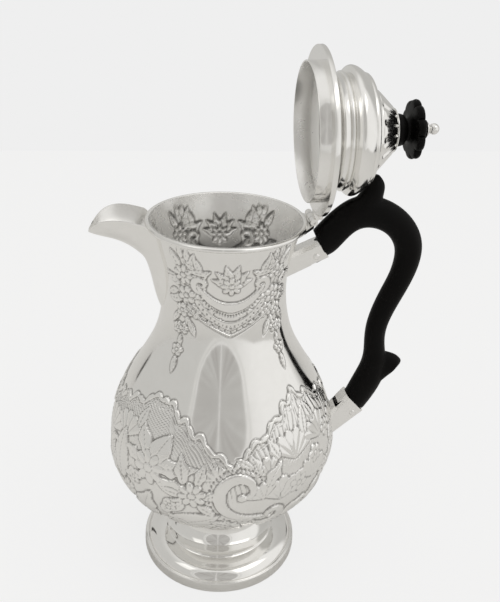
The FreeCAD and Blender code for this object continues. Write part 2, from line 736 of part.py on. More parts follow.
flange_solid = turned("flange_solid", flange_outside() + [
    [over(throat, cove_top), over(0, cove_top)],
    [over(0, cove_top), over(0, 0)],
    [over(0, 0), over(at.lid_radius, 0)],
])
swing(without("lid_hinge_leaf", leaf_blank, lid_hole, flange_solid))


# ---------- finial, drawn shut ----------

plate_top = at.crown_height + 0.8
drum_top = plate_top + at.finial_height * 0.273
petal_low = drum_top + at.finial_height * 0.21
petal_high = petal_low + at.finial_height * 0.244
knob_top = at.crown_height + at.finial_height
ball_middle = knob_top + 1.6 + at.finial_ball_radius
bore = at.bolt_radius
swing(turned("finial_base", [
    [over(bore, at.crown_height), over(at.crown_radius - 0.4, at.crown_height)],
    [over(at.crown_radius - 0.4, at.crown_height), over(at.crown_radius, at.crown_height + 0.4),
     over(at.crown_radius - 0.4, plate_top)],
    [over(at.crown_radius - 0.4, plate_top), over(at.finial_base_radius, plate_top)],
    [over(at.finial_base_radius, plate_top), over(at.finial_base_radius + 0.5, drum_top - 2),
     over(at.finial_base_radius, drum_top)],
    [over(at.finial_base_radius, drum_top), over(bore, drum_top)],
    [over(bore, drum_top), over(bore, at.crown_height)],
]))
knob_blank = turned("knob_blank", [
    [over(bore, drum_top), over(at.finial_base_radius * 0.75, drum_top)],
    [over(at.finial_base_radius * 0.75, drum_top), over(at.finial_base_radius * 0.72, petal_low - 0.8),
     over(at.finial_radius * 0.8, petal_low - 0.4), over(at.finial_radius, petal_low + 0.6)],
    [over(at.finial_radius, petal_low + 0.6), over(at.finial_radius + 0.3, (petal_low + petal_high) * 0.5),
     over(at.finial_radius - 0.4, petal_high)],
    [over(at.finial_radius - 0.4, petal_high), over(at.finial_radius * 0.6, petal_high + 1.2),
     over(at.finial_radius * 0.3, petal_high + 1.0), over(at.finial_base_radius * 0.4, knob_top)],
    [over(at.finial_base_radius * 0.4, knob_top), over(bore, knob_top)],
    [over(bore, knob_top), over(bore, drum_top)],
])


def petal_nicks():
    """The notches between the flower's petals: one upright rod for each, outside the rim."""
    rods = []
    for number in range(PETALS):
        turn = 2 * math.pi * number / PETALS
        reach = at.finial_radius + 1.1
        rods.append(cylinder(f"nick_{number}", Dim(2.0), at.finial_height, reach * math.cos(turn),
                             reach * math.sin(turn), lid_seat + petal_high, Vector(0, 0, 1)))
    return together("petal_nicks", *rods)


swing(without("finial_knob", knob_blank, petal_nicks()))
swing(turned("finial_collar", [
    [over(bore, knob_top), over(bore + 1.0, knob_top)],
    [over(bore + 1.0, knob_top), over(bore + 1.4, knob_top + 0.8), over(bore + 0.5, knob_top + 1.6)],
    [over(bore + 0.5, knob_top + 1.6), over(bore, knob_top + 1.6)],
    [over(bore, knob_top + 1.6), over(bore, knob_top)],
]))
washer_top = at.crown_height - wall
nut_top = washer_top - 0.8
nut_low = nut_top - at.nut_across * 0.45
washer = cylinder("washer_blank", at.nut_across * 0.75, 0.8, 0, 0, lid_seat + washer_top - 0.4, Vector(0, 0, 1))
bolt_way = cylinder("bolt_way", bore, at.crown_height * 2, 0, 0, lid_seat + at.crown_height, Vector(0, 0, 1))
swing(without("finial_washer", washer, bolt_way))
nut = doc.addObject("Part::Prism", "nut_blank")
nut.Polygon = 6
bind(nut, Circumradius=at.nut_across / math.sqrt(3), Height=nut_top - nut_low,
     Placement__Base__z=lid_seat + nut_low)
swing(without("finial_nut", nut, bolt_way))
shank_low = nut_low - 1.0
shank_length = ball_middle - shank_low
shank = cylinder("bolt_shank", bore, shank_length, 0, 0, lid_seat + shank_low + shank_length * 0.5,
                 Vector(0, 0, 1))
ball = doc.addObject("Part::Sphere", "bolt_ball")
bind(ball, Radius=at.finial_ball_radius, Placement__Base__z=lid_seat + ball_middle)
collar_way = cylinder("collar_way", at.finial_ball_radius, at.finial_ball_radius, 0, 0,
                      lid_seat + knob_top + 1.6 - at.finial_ball_radius * 0.5, Vector(0, 0, 1))
swing(together("finial_bolt", shank, without("ball_seated", ball, collar_way)))


# ---------- check and write ----------

doc.recompute()
faults = [thing.Label for thing in doc.Objects if {"Invalid", "Error"} & set(thing.State)]
for node in NODES:
    if node.Shape.isNull() or not node.Shape.isValid() or not node.Shape.Solids:
        faults.append(f"{node.Label} has no valid solid")
if faults:
    raise RuntimeError("; ".join(faults))
for node in NODES:
    node.Shape.exportStep(os.path.join("parts", f"{node.Label}.step"))
    print(f"{node.Label:22s} {len(node.Shape.Solids)} solid {node.Shape.Volume / 1000:8.3f} cm3")
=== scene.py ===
# %% [markdown]
# A silver water pitcher: a pear-shaped jug with a chased belly and neck, a hinged lid, and an
# ebony handle and finial, because silver carries heat and ebony does not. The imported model
# gives every place and size, so it is loaded first and never moved.

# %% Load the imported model
import json
import math

import bmesh
import bpy
import numpy as np
from mathutils import Matrix


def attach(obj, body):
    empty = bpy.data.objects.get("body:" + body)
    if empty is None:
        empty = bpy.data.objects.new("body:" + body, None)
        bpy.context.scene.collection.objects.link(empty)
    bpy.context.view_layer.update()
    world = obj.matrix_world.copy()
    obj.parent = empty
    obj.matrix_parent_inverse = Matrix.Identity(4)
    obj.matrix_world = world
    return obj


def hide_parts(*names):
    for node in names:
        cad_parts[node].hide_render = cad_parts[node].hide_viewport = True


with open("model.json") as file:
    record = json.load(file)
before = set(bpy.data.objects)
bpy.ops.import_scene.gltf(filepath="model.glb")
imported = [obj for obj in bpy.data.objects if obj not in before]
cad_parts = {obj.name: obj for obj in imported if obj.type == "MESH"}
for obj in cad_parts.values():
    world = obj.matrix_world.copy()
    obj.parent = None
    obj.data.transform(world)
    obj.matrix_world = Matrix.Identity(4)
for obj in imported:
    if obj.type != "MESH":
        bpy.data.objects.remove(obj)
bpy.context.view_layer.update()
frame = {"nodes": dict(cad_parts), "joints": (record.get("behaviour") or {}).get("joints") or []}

MM = 0.001

# %% [markdown]
# Every surface here is worked out as a grid of points. Three helpers do it all: a smooth
# curve through a few poles, the faces of a grid, and a mesh made from whole arrays at once.
# A loop over single points would take minutes for a chased body, and arrays take a second.

# %% Curves, grids and meshes


def curve(poles, count):
    """Clamped uniform cubic B-spline: a point is the sum of the poles, each times its
    Cox-de Boor weight, and the curve starts and ends on the first and last pole."""
    poles = np.array(poles, float)
    inner = len(poles) - 3
    knots = np.r_[[0.0] * 4, np.arange(1, inner) / inner, [1.0] * 4]
    u = np.linspace(0, 1, count)[:, None]
    weights = ((u >= knots[:-1]) & (u < knots[1:])).astype(float)
    weights[-1, len(poles) - 1] = 1.0
    for degree in (1, 2, 3):
        rise = knots[degree:-1] - knots[:-degree - 1]
        fall = knots[degree + 1:] - knots[1:-degree]
        up = (u - knots[:-degree - 1]) / np.where(rise > 0, rise, 1) * (rise > 0)
        down = (knots[degree + 1:] - u) / np.where(fall > 0, fall, 1) * (fall > 0)
        weights = up * weights[:, :-1] + down * weights[:, 1:]
    return weights @ poles


def grid_faces(rows, columns, closed=False):
    """Four-cornered faces of a rows by columns grid; closed joins the last column to the
    first. Corners run so that the face looks along (column step) x (row step)."""
    i = np.arange(rows - 1)[:, None]
    j = np.arange(columns if closed else columns - 1)[None, :]
    k = (j + 1) % columns
    corners = [i * columns + j, i * columns + k, (i + 1) * columns + k, (i + 1) * columns + j]
    return np.stack(np.broadcast_arrays(*corners), -1).reshape(-1, 4)


def put_mesh(name, points, faces, normals=None):
    """Puts arrays of points in millimetres and four-cornered faces into a new object."""
    used, faces = np.unique(faces, return_inverse=True)
    faces = faces.reshape(-1, 4)
    mesh = bpy.data.meshes.new(name)
    mesh.vertices.add(len(used))
    mesh.vertices.foreach_set("co", (points[used] * MM).astype(np.float32).ravel())
    mesh.loops.add(faces.size)
    mesh.loops.foreach_set("vertex_index", faces.astype(np.int32).ravel())
    mesh.polygons.add(len(faces))
    mesh.polygons.foreach_set("loop_start", np.arange(0, faces.size, 4, dtype=np.int32))
    mesh.update(calc_edges=True)
    mesh.shade_smooth()
    if normals is not None:
        mesh.normals_split_custom_set_from_vertices(normals[used].tolist())
    thing = bpy.data.objects.new(name, mesh)
    bpy.context.scene.collection.objects.link(thing)
    return thing, used


def weld(thing, crease_deg=35.0):
    """Closes poles and seams by merging points that lie together, and keeps edges that
    turn more than crease_deg crisp."""
    shape = bmesh.new()
    shape.from_mesh(thing.data)
    bmesh.ops.remove_doubles(shape, verts=shape.verts, dist=2e-6)
    shape.to_mesh(thing.data)
    shape.free()
    thing.data.shade_smooth()
    thing.data.set_sharp_from_angle(angle=math.radians(crease_deg))
    return thing


def own(thing, body, nodes, material):
    """Says what the piece rides on, what it stands for and what it is made of."""
    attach(thing, body)
    if nodes:
        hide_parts(*nodes)
    thing.data.materials.clear()
    thing.data.materials.append(material)
    print(thing.name, len(thing.data.polygons), "faces")
    return thing


# %% [markdown]
# A finish is a small tree of nodes. One helper adds any node with its settings and its links,
# so each material below reads as a list of what it is made of, and colours are written the way
# a colour chart gives them and turned to linear light in one place.

# %% Colours and the node helper


def linear(hexcode):
    """sRGB hex to linear light: c/12.92 below 0.04045, else ((c+0.055)/1.055)^2.4."""
    parts = [int(hexcode[i:i + 2], 16) / 255 for i in (1, 3, 5)]
    light = [c / 12.92 if c <= 0.04045 else ((c + 0.055) / 1.055) ** 2.4 for c in parts]
    return (*light, 1.0)


def add(tree, kind, settings=None, links=None):
    """Adds a node; settings are its inputs or properties by name, links its sources."""
    node = tree.nodes.new(kind)
    for name, value in (settings or {}).items():
        if isinstance(name, int) or name in node.inputs:
            node.inputs[name].default_value = value
        else:
            setattr(node, name, value)
    for name, source in (links or {}).items():
        tree.links.new(source, node.inputs[name])
    return node


def finish_of(name):
    """A new material with an empty node tree and its Object coordinates."""
    made = bpy.data.materials.new(name)
    made.use_nodes = True
    made.node_tree.nodes.clear()
    place = add(made.node_tree, "ShaderNodeTexCoord").outputs["Object"]
    return made, made.node_tree, place


# %% [markdown]
# Sterling silver that was raised, planished and then buffed: nearly a mirror, very slightly
# warm, with fine polishing swirls and a soft grey bloom of tarnish left in the chased hollows
# where the buff does not reach. Metal takes its look from what it mirrors, so the colour stays
# plain and the work goes into roughness, a faint unevenness and the tarnish mask.
# The same recipe, with another tone, serves the drawn pins and the turned brass.

# %% Buffed sterling silver


def buffed_metal(name, roughness, chased=False, middle=(0, 0, 0), square=(1, 1, 0),
                 tones=("#f7f6f4", "#f0efec")):
    """Metal with roughness wandering by a fifth, hair-fine swirls, and tarnish where the
    'hollow' attribute is high. Inside the vessel it is left frosted white from the acid
    bath: a face is inside where its normal points back at the turning axis, which goes
    through middle (mm) and leaves the directions in square."""
    made, tree, place = finish_of(name)
    out = add(tree, "ShaderNodeVectorMath", {"operation": "SUBTRACT", 1: [m * MM for m in middle]},
              {0: place}).outputs["Vector"]
    out = add(tree, "ShaderNodeVectorMath", {"operation": "MULTIPLY", 1: square},
              {0: out}).outputs["Vector"]
    facing = add(tree, "ShaderNodeTexCoord").outputs["Normal"]
    away = add(tree, "ShaderNodeVectorMath", {"operation": "DOT_PRODUCT"},
               {0: out, 1: facing}).outputs["Value"]
    inside = add(tree, "ShaderNodeMapRange", {"From Min": -2 * MM, "From Max": -9 * MM},
                 {"Value": away}).outputs["Result"]
    swirl = add(tree, "ShaderNodeTexNoise",
                {"Scale": 1 / (9 * MM), "Detail": 4.0, "Distortion": 1.2}, {"Vector": place})
    rough = add(tree, "ShaderNodeMapRange",
                {"From Min": 0.3, "From Max": 0.7, "To Min": roughness * 0.8,
                 "To Max": roughness * 1.25}, {"Value": swirl.outputs["Fac"]})
    frost = add(tree, "ShaderNodeMapRange", {"To Min": 0.0, "To Max": 0.16}, {"Value": inside})
    soft = add(tree, "ShaderNodeMath", {"operation": "ADD"},
               {0: rough.outputs["Result"], 1: frost.outputs["Result"]})
    metal = add(tree, "ShaderNodeMapRange", {"To Min": 1.0, "To Max": 0.72}, {"Value": inside})
    shader = add(tree, "ShaderNodeBsdfPrincipled", {},
                 {"Roughness": soft.outputs[0], "Metallic": metal.outputs["Result"]})
    tone = add(tree, "ShaderNodeMix", {"data_type": "RGBA", 6: linear(tones[0]),
                                       7: linear(tones[1])}, {0: swirl.outputs["Fac"]})
    colour = tone.outputs[2]
    if chased:
        hollow = add(tree, "ShaderNodeAttribute", {"attribute_name": "hollow"})
        dull = add(tree, "ShaderNodeMapRange", {"From Min": 0.05, "From Max": 0.8,
                                                "To Min": 0.0, "To Max": 0.6},
                   {"Value": hollow.outputs["Fac"]})
        dark = add(tree, "ShaderNodeMix", {"data_type": "RGBA", 7: linear("#54504b")},
                   {0: dull.outputs["Result"], 6: colour})
        colour = dark.outputs[2]
    tree.links.new(colour, shader.inputs["Base Color"])
    hair = add(tree, "ShaderNodeTexNoise", {"Scale": 1 / (2.2 * MM), "Detail": 2.0},
               {"Vector": place})
    bump = add(tree, "ShaderNodeBump", {"Strength": 0.05, "Distance": 0.05 * MM},
               {"Height": hair.outputs["Fac"]})
    tree.links.new(bump.outputs["Normal"], shader.inputs["Normal"])
    add(tree, "ShaderNodeOutputMaterial", links={"Surface": shader.outputs["BSDF"]})
    return made


silver = buffed_metal("buffed_sterling_silver", 0.07)
chased_silver = buffed_metal("chased_sterling_silver", 0.10, chased=True)
OPEN_LID_RISE = 46
open_lid_height = frame["joints"][0]["pos_m"][2] / MM + OPEN_LID_RISE
lid_silver = buffed_metal("turned_lid_silver", 0.13, middle=(0, 0, open_lid_height),
                          square=(0, 1, 1))
bright_pin = buffed_metal("drawn_silver_pin", 0.16)
brass = buffed_metal("turned_brass", 0.2, tones=("#d8b974", "#c9a761"))

# %% [markdown]
# Ebony, carved, scraped and waxed: almost black heartwood with the faintest brown streaks,
# so dense that it takes a satin polish. Pores run with the grain, about 0.15 mm wide and a few
# millimetres long, and they are drawn a little coarser here so that they show.

# %% Waxed ebony


def waxed_ebony(name, grain):
    """Dark wood: noise stretched along the grain for streaks, finer noise for pores."""
    made, tree, place = finish_of(name)
    run = add(tree, "ShaderNodeMapping", {"Scale": grain}, {"Vector": place})
    streak = add(tree, "ShaderNodeTexNoise", {"Scale": 1 / (5 * MM), "Detail": 5.0},
                 {"Vector": run.outputs["Vector"]})
    tone = add(tree, "ShaderNodeMix", {"data_type": "RGBA", 6: linear("#020202"),
                                       7: linear("#0b0908")}, {0: streak.outputs["Fac"]})
    rough = add(tree, "ShaderNodeMapRange", {"To Min": 0.34, "To Max": 0.52},
                {"Value": streak.outputs["Fac"]})
    pores = add(tree, "ShaderNodeTexNoise", {"Scale": 1 / (0.7 * MM), "Detail": 2.0},
                {"Vector": run.outputs["Vector"]})
    bump = add(tree, "ShaderNodeBump", {"Strength": 0.25, "Distance": 0.08 * MM},
               {"Height": pores.outputs["Fac"]})
    shader = add(tree, "ShaderNodeBsdfPrincipled", {"IOR": 1.5, "Specular IOR Level": 0.09},
                 {"Base Color": tone.outputs[2], "Roughness": rough.outputs["Result"],
                  "Normal": bump.outputs["Normal"]})
    add(tree, "ShaderNodeOutputMaterial", links={"Surface": shader.outputs["BSDF"]})
    return made


ebony = waxed_ebony("waxed_ebony", (1.0, 1.0, 0.15))

# %% [markdown]
# Sheet silver has two faces and an edge. An outer grid, an inner grid and a strip round every
# open edge make one closed wall, which is what a raised vessel really is. Turned parts are the
# same idea: a profile carried round the middle line.

# %% Walls and turned parts


def walled(outer, inner, faces):
    """Outer faces, the inner ones turned over, and a strip on each edge used only once."""
    count = len(outer)
    tails, heads = faces, np.roll(faces, -1, axis=1)
    forward = (tails * count + heads).ravel()
    lone = ~np.isin(forward, (heads * count + tails).ravel())
    a, b = tails.ravel()[lone], heads.ravel()[lone]
    strip = np.stack([b, a, a + count, b + count], -1)
    return np.concatenate([outer, inner]), np.concatenate([faces, faces[:, ::-1] + count, strip])


def carried_round(profile, count, flute=None):
    """Point = (r cos t, r sin t, z) for each (r, z) of the profile and each angle t. flute
    returns how much r grows at (r, z, t)."""
    t = np.arange(count) * 2 * math.pi / count
    r, z = profile[:, :1], profile[:, 1:]
    full = r + (flute(r, z, t) if flute else 0) + 0 * t
    return np.stack([full * np.cos(t), full * np.sin(t), z + 0 * t], -1).reshape(-1, 3)


def turned(name, profile, count=256, flute=None, place=None, crease_deg=35.0):
    """A closed profile (outside going up) carried round the Z axis, then placed."""
    loop = np.vstack([profile, profile[:1]])
    points = carried_round(loop, count, flute)
    if place is not None:
        points = place(points)
    return weld(put_mesh(name, points, grid_faces(len(loop), count, True))[0], crease_deg)


def round_wire(middle_r, middle_z, r, turns=24):
    """Circle profile: centre plus r times (cos, sin), outside going up."""
    t = np.linspace(0, 2 * math.pi, turns, endpoint=False)
    return np.stack([middle_r + r * np.cos(t), middle_z + r * np.sin(t)], -1)


def thickened(line, wall):
    """Closes an open outer line into a thin section, its inner side wall away."""
    step = np.gradient(line, axis=0)
    step /= np.linalg.norm(step, axis=1, keepdims=True)
    return np.vstack([line, (line + wall * np.stack([-step[:, 1], step[:, 0]], -1))[::-1]])


# %% The foot
foot_ring = np.vstack([[(45.2, 0), (47.1, 0)], curve([(47.1, 0), (47.5, .1), (47.4, 1.2),
                      (47.3, 2.3)], 8), curve([(47.3, 2.3), (47.3, 4.5), (47.2, 6.6),
                      (46.4, 6.6)], 12), [(45.2, 6.6)]])
own(turned("foot_ring", foot_ring, 320), "jug", ["foot_base_ring"], silver)
foot_line = np.vstack([[(46.3, 6.62)], curve([(46.3, 6.7), (46.1, 7.0), (45.6, 7.0), (45.3, 7.0)],
                       6), curve([(45.3, 7.0), (43.1, 11.9), (38.4, 13.0), (33.5, 13.23)], 40),
                       [(33.05, 13.6), (33.0, 14.2), (32.8, 14.5), (31.8, 14.63)],
                       curve([(31.8, 14.63), (27.0, 15.4), (22.5, 20.5), (22.5, 27.0)], 40)[1:],
                       [(22.5, 28.0)]])
own(turned("foot_stem", thickened(foot_line, 0.85), 320, crease_deg=28), "jug",
    ["foot"], silver)
own(turned("foot_collet_wire", round_wire(22.9, 27, 1.3), 256), "jug",
    ["foot_collet"], silver)
own(turned("rim_wire_ring", round_wire(40.75, 216.75, 1.25), 360), "jug",
    ["rim_wire"], silver)

# %% [markdown]
# Chasing pushes the metal up from inside and draws it in from outside with blunt punches. Here
# it is a height above the plain wall, in millimetres, drawn on the unrolled surface: one axis
# is the angle round the jug, the other the distance up along its profile. Each motif is a
# small formula laid over what is already there, as a chaser works, from the back forwards.

# %% The plain wall
WALL = 0.8


def through(stations, count):
    """A natural cubic spline that meets the stations: its bends m, none at the ends, solve
    m before + 4 m + m after = 6 times the stations' second difference."""
    met = np.array(stations, float)
    size = len(met)
    system = 4 * np.eye(size) + np.eye(size, k=1) + np.eye(size, k=-1)
    system[[0, -1]] = np.eye(size)[[0, -1]]
    bend = np.zeros_like(met)
    bend[1:-1] = 6 * (met[2:] - 2 * met[1:-1] + met[:-2])
    bend = np.linalg.solve(system, bend)
    t = np.linspace(0, size - 1, count)
    i = np.minimum(t.astype(int), size - 2)
    f = (t - i)[:, None]
    return ((1 - f) * met[i] + f * met[i + 1]
            + (((1 - f) ** 3 - (1 - f)) * bend[i] + (f ** 3 - f) * bend[i + 1]) / 6)


def wall_outline(node, count):
    """Points of the wall's outer outline, from the axis under the belly to the lip: corners of
    the faces that look outwards, one for each step of the angle about a point behind the axis."""
    mesh = node.data
    corners = np.empty(len(mesh.vertices) * 3)
    mesh.vertices.foreach_get("co", corners)
    corners = corners.reshape(-1, 3) / MM
    mesh.calc_loop_triangles()
    sides = np.empty(len(mesh.loop_triangles) * 3, int)
    mesh.loop_triangles.foreach_get("vertices", sides)
    a, b, c = corners[sides].reshape(-1, 3, 3).transpose(1, 0, 2)
    across, middle = np.cross(b - a, c - a), (a + b + c) / 3
    across /= np.maximum(np.linalg.norm(across, axis=1, keepdims=True), 1e-9)
    radius = np.hypot(middle[:, 0], middle[:, 1])
    outwards = (across[:, :2] * middle[:, :2]).sum(1) / np.maximum(radius, 1e-9)
    under = (across[:, 2] < -0.5) & (middle[:, 2] < corners[:, 2].min() + 8)
    kept = np.vstack([corner[(outwards > 0.15) | under] for corner in (a, b, c)])
    r, z = np.hypot(kept[:, 0], kept[:, 1]), kept[:, 2]
    turn = np.arctan2(z - 100, r + 60)
    steps = np.linspace(turn.min(), turn.max(), count)
    nearest = np.abs(turn[:, None] - steps).argmin(0)
    return np.column_stack([r[nearest], z[nearest]])


body_line = through(wall_outline(frame["nodes"]["body"], 27), 6000)
body_arc = np.r_[0, np.cumsum(np.hypot(*np.diff(body_line, axis=0).T))]
LAST_ARC = float(body_arc[-1])


def body_radius(z):
    """Outer radius of the jug at a height, read off its profile."""
    return np.interp(z, body_line[:, 1], body_line[:, 0])


class Canvas:
    """The unrolled wall: angle in degrees, arc and radius in mm, and the height so far."""

    def __init__(self, angles, arcs):
        self.angle, self.arc = angles[None, :], arcs[:, None]
        self.radius = np.interp(self.arc, body_arc, body_line[:, 0])
        self.height = np.zeros((len(arcs), len(angles)))

    def local(self, angle, arc, turn=0.0):
        """x round the jug and y up it, in mm from a motif's own foot, turned left."""
        x = np.radians(self.angle - angle) * self.radius
        y = self.arc - arc + 0 * x
        c, s = math.cos(math.radians(turn)), math.sin(math.radians(turn))
        return x * c + y * s, y * c - x * s

    def lay(self, form, inside, traced=0.2, soft=0.35):
        """Puts form where inside is positive, in mm from its edge, and draws the outline in."""
        mask = np.clip(inside / soft + 0.5, 0, 1)
        mask = mask * mask * (3 - 2 * mask)
        self.height = self.height * (1 - mask) + form * mask
        self.height -= traced * np.exp(-(inside / 0.38) ** 2)


print("profile", round(LAST_ARC, 1), "mm long")

# %% [markdown]
# A chaser works with a few small forms struck over and over: leaf, flower, ridge, scroll and
# bead. Each is a short function that raises the unrolled wall's height field, which costs far
# less than a mesh for each form and lets neighbours run into each other as struck metal does.

# %% Motifs: leaf, bloom, ridge, scroll and beads


def leaf(canvas, angle, arc, length, width, turn=0.0, bend=0.0, lobes=0, rise=1.0):
    """Half width = width/2 * sin(pi t^0.75)^0.85, scalloped by lobes; height = a round back
    with a groove down the middle and slanting veins."""
    x, y = canvas.local(angle, arc, turn)
    t = np.clip(y / length, 1e-4, 1 - 1e-4)
    x = x - bend * length * t * t
    half = width / 2 * np.sin(math.pi * t ** 0.75) ** 0.85
    half = half * (1 + 0.17 * np.cos(2 * math.pi * lobes * t)) if lobes else half
    side = np.abs(x) / (half + 0.05)
    back = np.sqrt(np.clip(1 - side ** 2, 0, 1))
    groove = np.exp(-(x / 0.5) ** 2)
    vein = np.cos(2 * math.pi * (y - 1.1 * np.abs(x)) / 2.3)
    form = rise * (0.25 + 0.75 * back - 0.42 * groove + 0.09 * vein * back)
    ends = np.minimum(y, length - y)
    canvas.lay(form, np.minimum(half - np.abs(x), ends))


def bloom(canvas, angle, arc, size, petals, turn=0.0, rise=1.0):
    """Petal edge = size * (0.6 + 0.4 |cos(petals/2 * angle)|^0.6), each petal cupped, with a
    round boss in a drawn ring in the middle."""
    x, y = canvas.local(angle, arc, turn)
    away, about = np.hypot(x, y), np.arctan2(x, y)
    wave = np.abs(np.cos(petals / 2 * about))
    edge = size * (0.6 + 0.4 * wave ** 0.6)
    cup = np.sin(math.pi * np.clip(away / edge, 0, 1) ** 1.25)
    form = rise * (0.3 + 0.7 * cup) * (0.45 + 0.55 * wave)
    canvas.lay(form, edge - away)
    boss = 0.27 * size
    form = rise * (0.35 + 1.0 * np.sqrt(np.clip(1 - (away / boss) ** 2, 0, 1)))
    canvas.lay(form, boss - away, traced=0.3, soft=0.3)


def ridge(canvas, angle, arc, path, widths, rise=0.8, hollow=0.0):
    """Height = rise * sqrt(1 - (d/w)^2), d the distance to the nearest point of the path and
    w the half width there; hollow makes the middle sink, as in a rolled scroll."""
    x, y = canvas.local(angle, arc)
    reach = np.abs(path).max() + widths.max() + 2
    near = (np.abs(x) < reach) & (np.abs(y) < reach)
    gap = np.hypot(x[near][:, None] - path[:, 0], y[near][:, None] - path[:, 1])
    best = gap.argmin(1)
    d, w = gap[np.arange(len(best)), best], widths[best]
    across = np.clip(d / w, 0, 1)
    form, inside = np.zeros_like(x), np.full_like(x, -9.0)
    form[near] = rise * (0.25 + 0.75 * np.sqrt(1 - across ** 2)
                         - hollow * np.exp(-(across / 0.5) ** 2))
    inside[near] = w - d
    canvas.lay(form, inside)


def spiral(size, start, sweep, tight=0.88, steps=220, ease=0.85):
    """Point = size * (1 - tight * s^ease) * (cos, sin) of start + sweep * s, s from 0 to 1."""
    s = np.linspace(0, 1, steps)
    about = np.radians(start + sweep * s)
    reach = size * (1 - tight * s ** ease)
    return np.stack([reach * np.cos(about), reach * np.sin(about)], -1)


def scroll(canvas, angle, arc, size, start, sweep, width, rise=1.1, ease=0.85):
    """A rolled C: a ridge on a spiral, widest a third of the way, with a bead in its eye."""
    path = spiral(size, start, sweep, ease=ease)
    s = np.linspace(0, 1, len(path))
    ridge(canvas, angle, arc, path, width * (0.22 + 0.78 * np.sin(math.pi * s ** 0.6) ** 1.2),
          rise, 0.25)
    beads(canvas, angle, arc, path[-1:], 0.1 * size, rise * 1.3)


def beads(canvas, angle, arc, places, r, rise=0.5):
    """Small domes (or pits, if rise is below 0): height = rise * sqrt(1 - (d/r)^2)."""
    x, y = canvas.local(angle, arc)
    for px, py in places:
        d = np.hypot(x - px, y - py)
        canvas.height += (d < r) * rise * np.sqrt(np.clip(1 - (d / r) ** 2, 0, 1))


def bent(x_half, low, high, count):
    """A sagging line: y = low + (high - low) * (x / x_half)^2."""
    x = np.linspace(-x_half, x_half, count)
    return np.stack([x, low + (high - low) * (x / x_half) ** 2], -1)


# %% [markdown]
# The belly: a ragged rocaille edge that dips at the front, flutes that fan down from it, two
# flowers and their leaves, one big C-scroll, shells on the handle side, and a ring of
# acanthus leaves underneath. Front and back are mirror images, so the drawing is made for
# one side and read with the angle folded.

# %% The belly's chasing
DIP, CREST, SIDE = 117.0, 150.0, 131.0
CREST_AWAY = 42.0


def rocaille_edge(angle):
    """Arc of the border: it climbs from DIP at the front to CREST a given angle away, as a
    power of the angle, falls to SIDE, and is ragged by a wave whose pace wanders."""
    away = np.abs(angle + 90)
    climb = DIP + (CREST - DIP) * (np.minimum(away, CREST_AWAY) / CREST_AWAY) ** 0.8
    fall = (CREST - SIDE) * np.clip((away - CREST_AWAY) / (90 - CREST_AWAY), 0, 1) ** 0.9
    ragged = 1.9 * np.sin(angle / 1.9 + 1.4 * np.sin(angle / 9)) * np.clip(away / 8, 0, 1)
    return climb - fall + ragged


def shell(canvas, angle, arc, size, spread, turn, ribs, rise=1.1):
    """A fan: ribs = |cos(ribs * a)| over the angle a from its axis, within spread degrees,
    the edge scalloped by the same ribs, rising towards the rim and curling over."""
    x, y = canvas.local(angle, arc, turn)
    away, about = np.hypot(x, y), np.arctan2(x, y)
    share = about / math.radians(spread)
    wave = np.abs(np.cos(math.pi * ribs * (share + 1) / 2 + math.pi / 2))
    edge = size * (0.84 + 0.16 * wave ** 0.7)
    part = np.clip(away / edge, 0, 1)
    form = rise * (0.2 + 0.8 * np.sin(0.58 * math.pi * part ** 1.1)) * (0.5 + 0.5 * wave)
    canvas.lay(form, np.minimum(edge - away, (1 - np.abs(share)) * away))


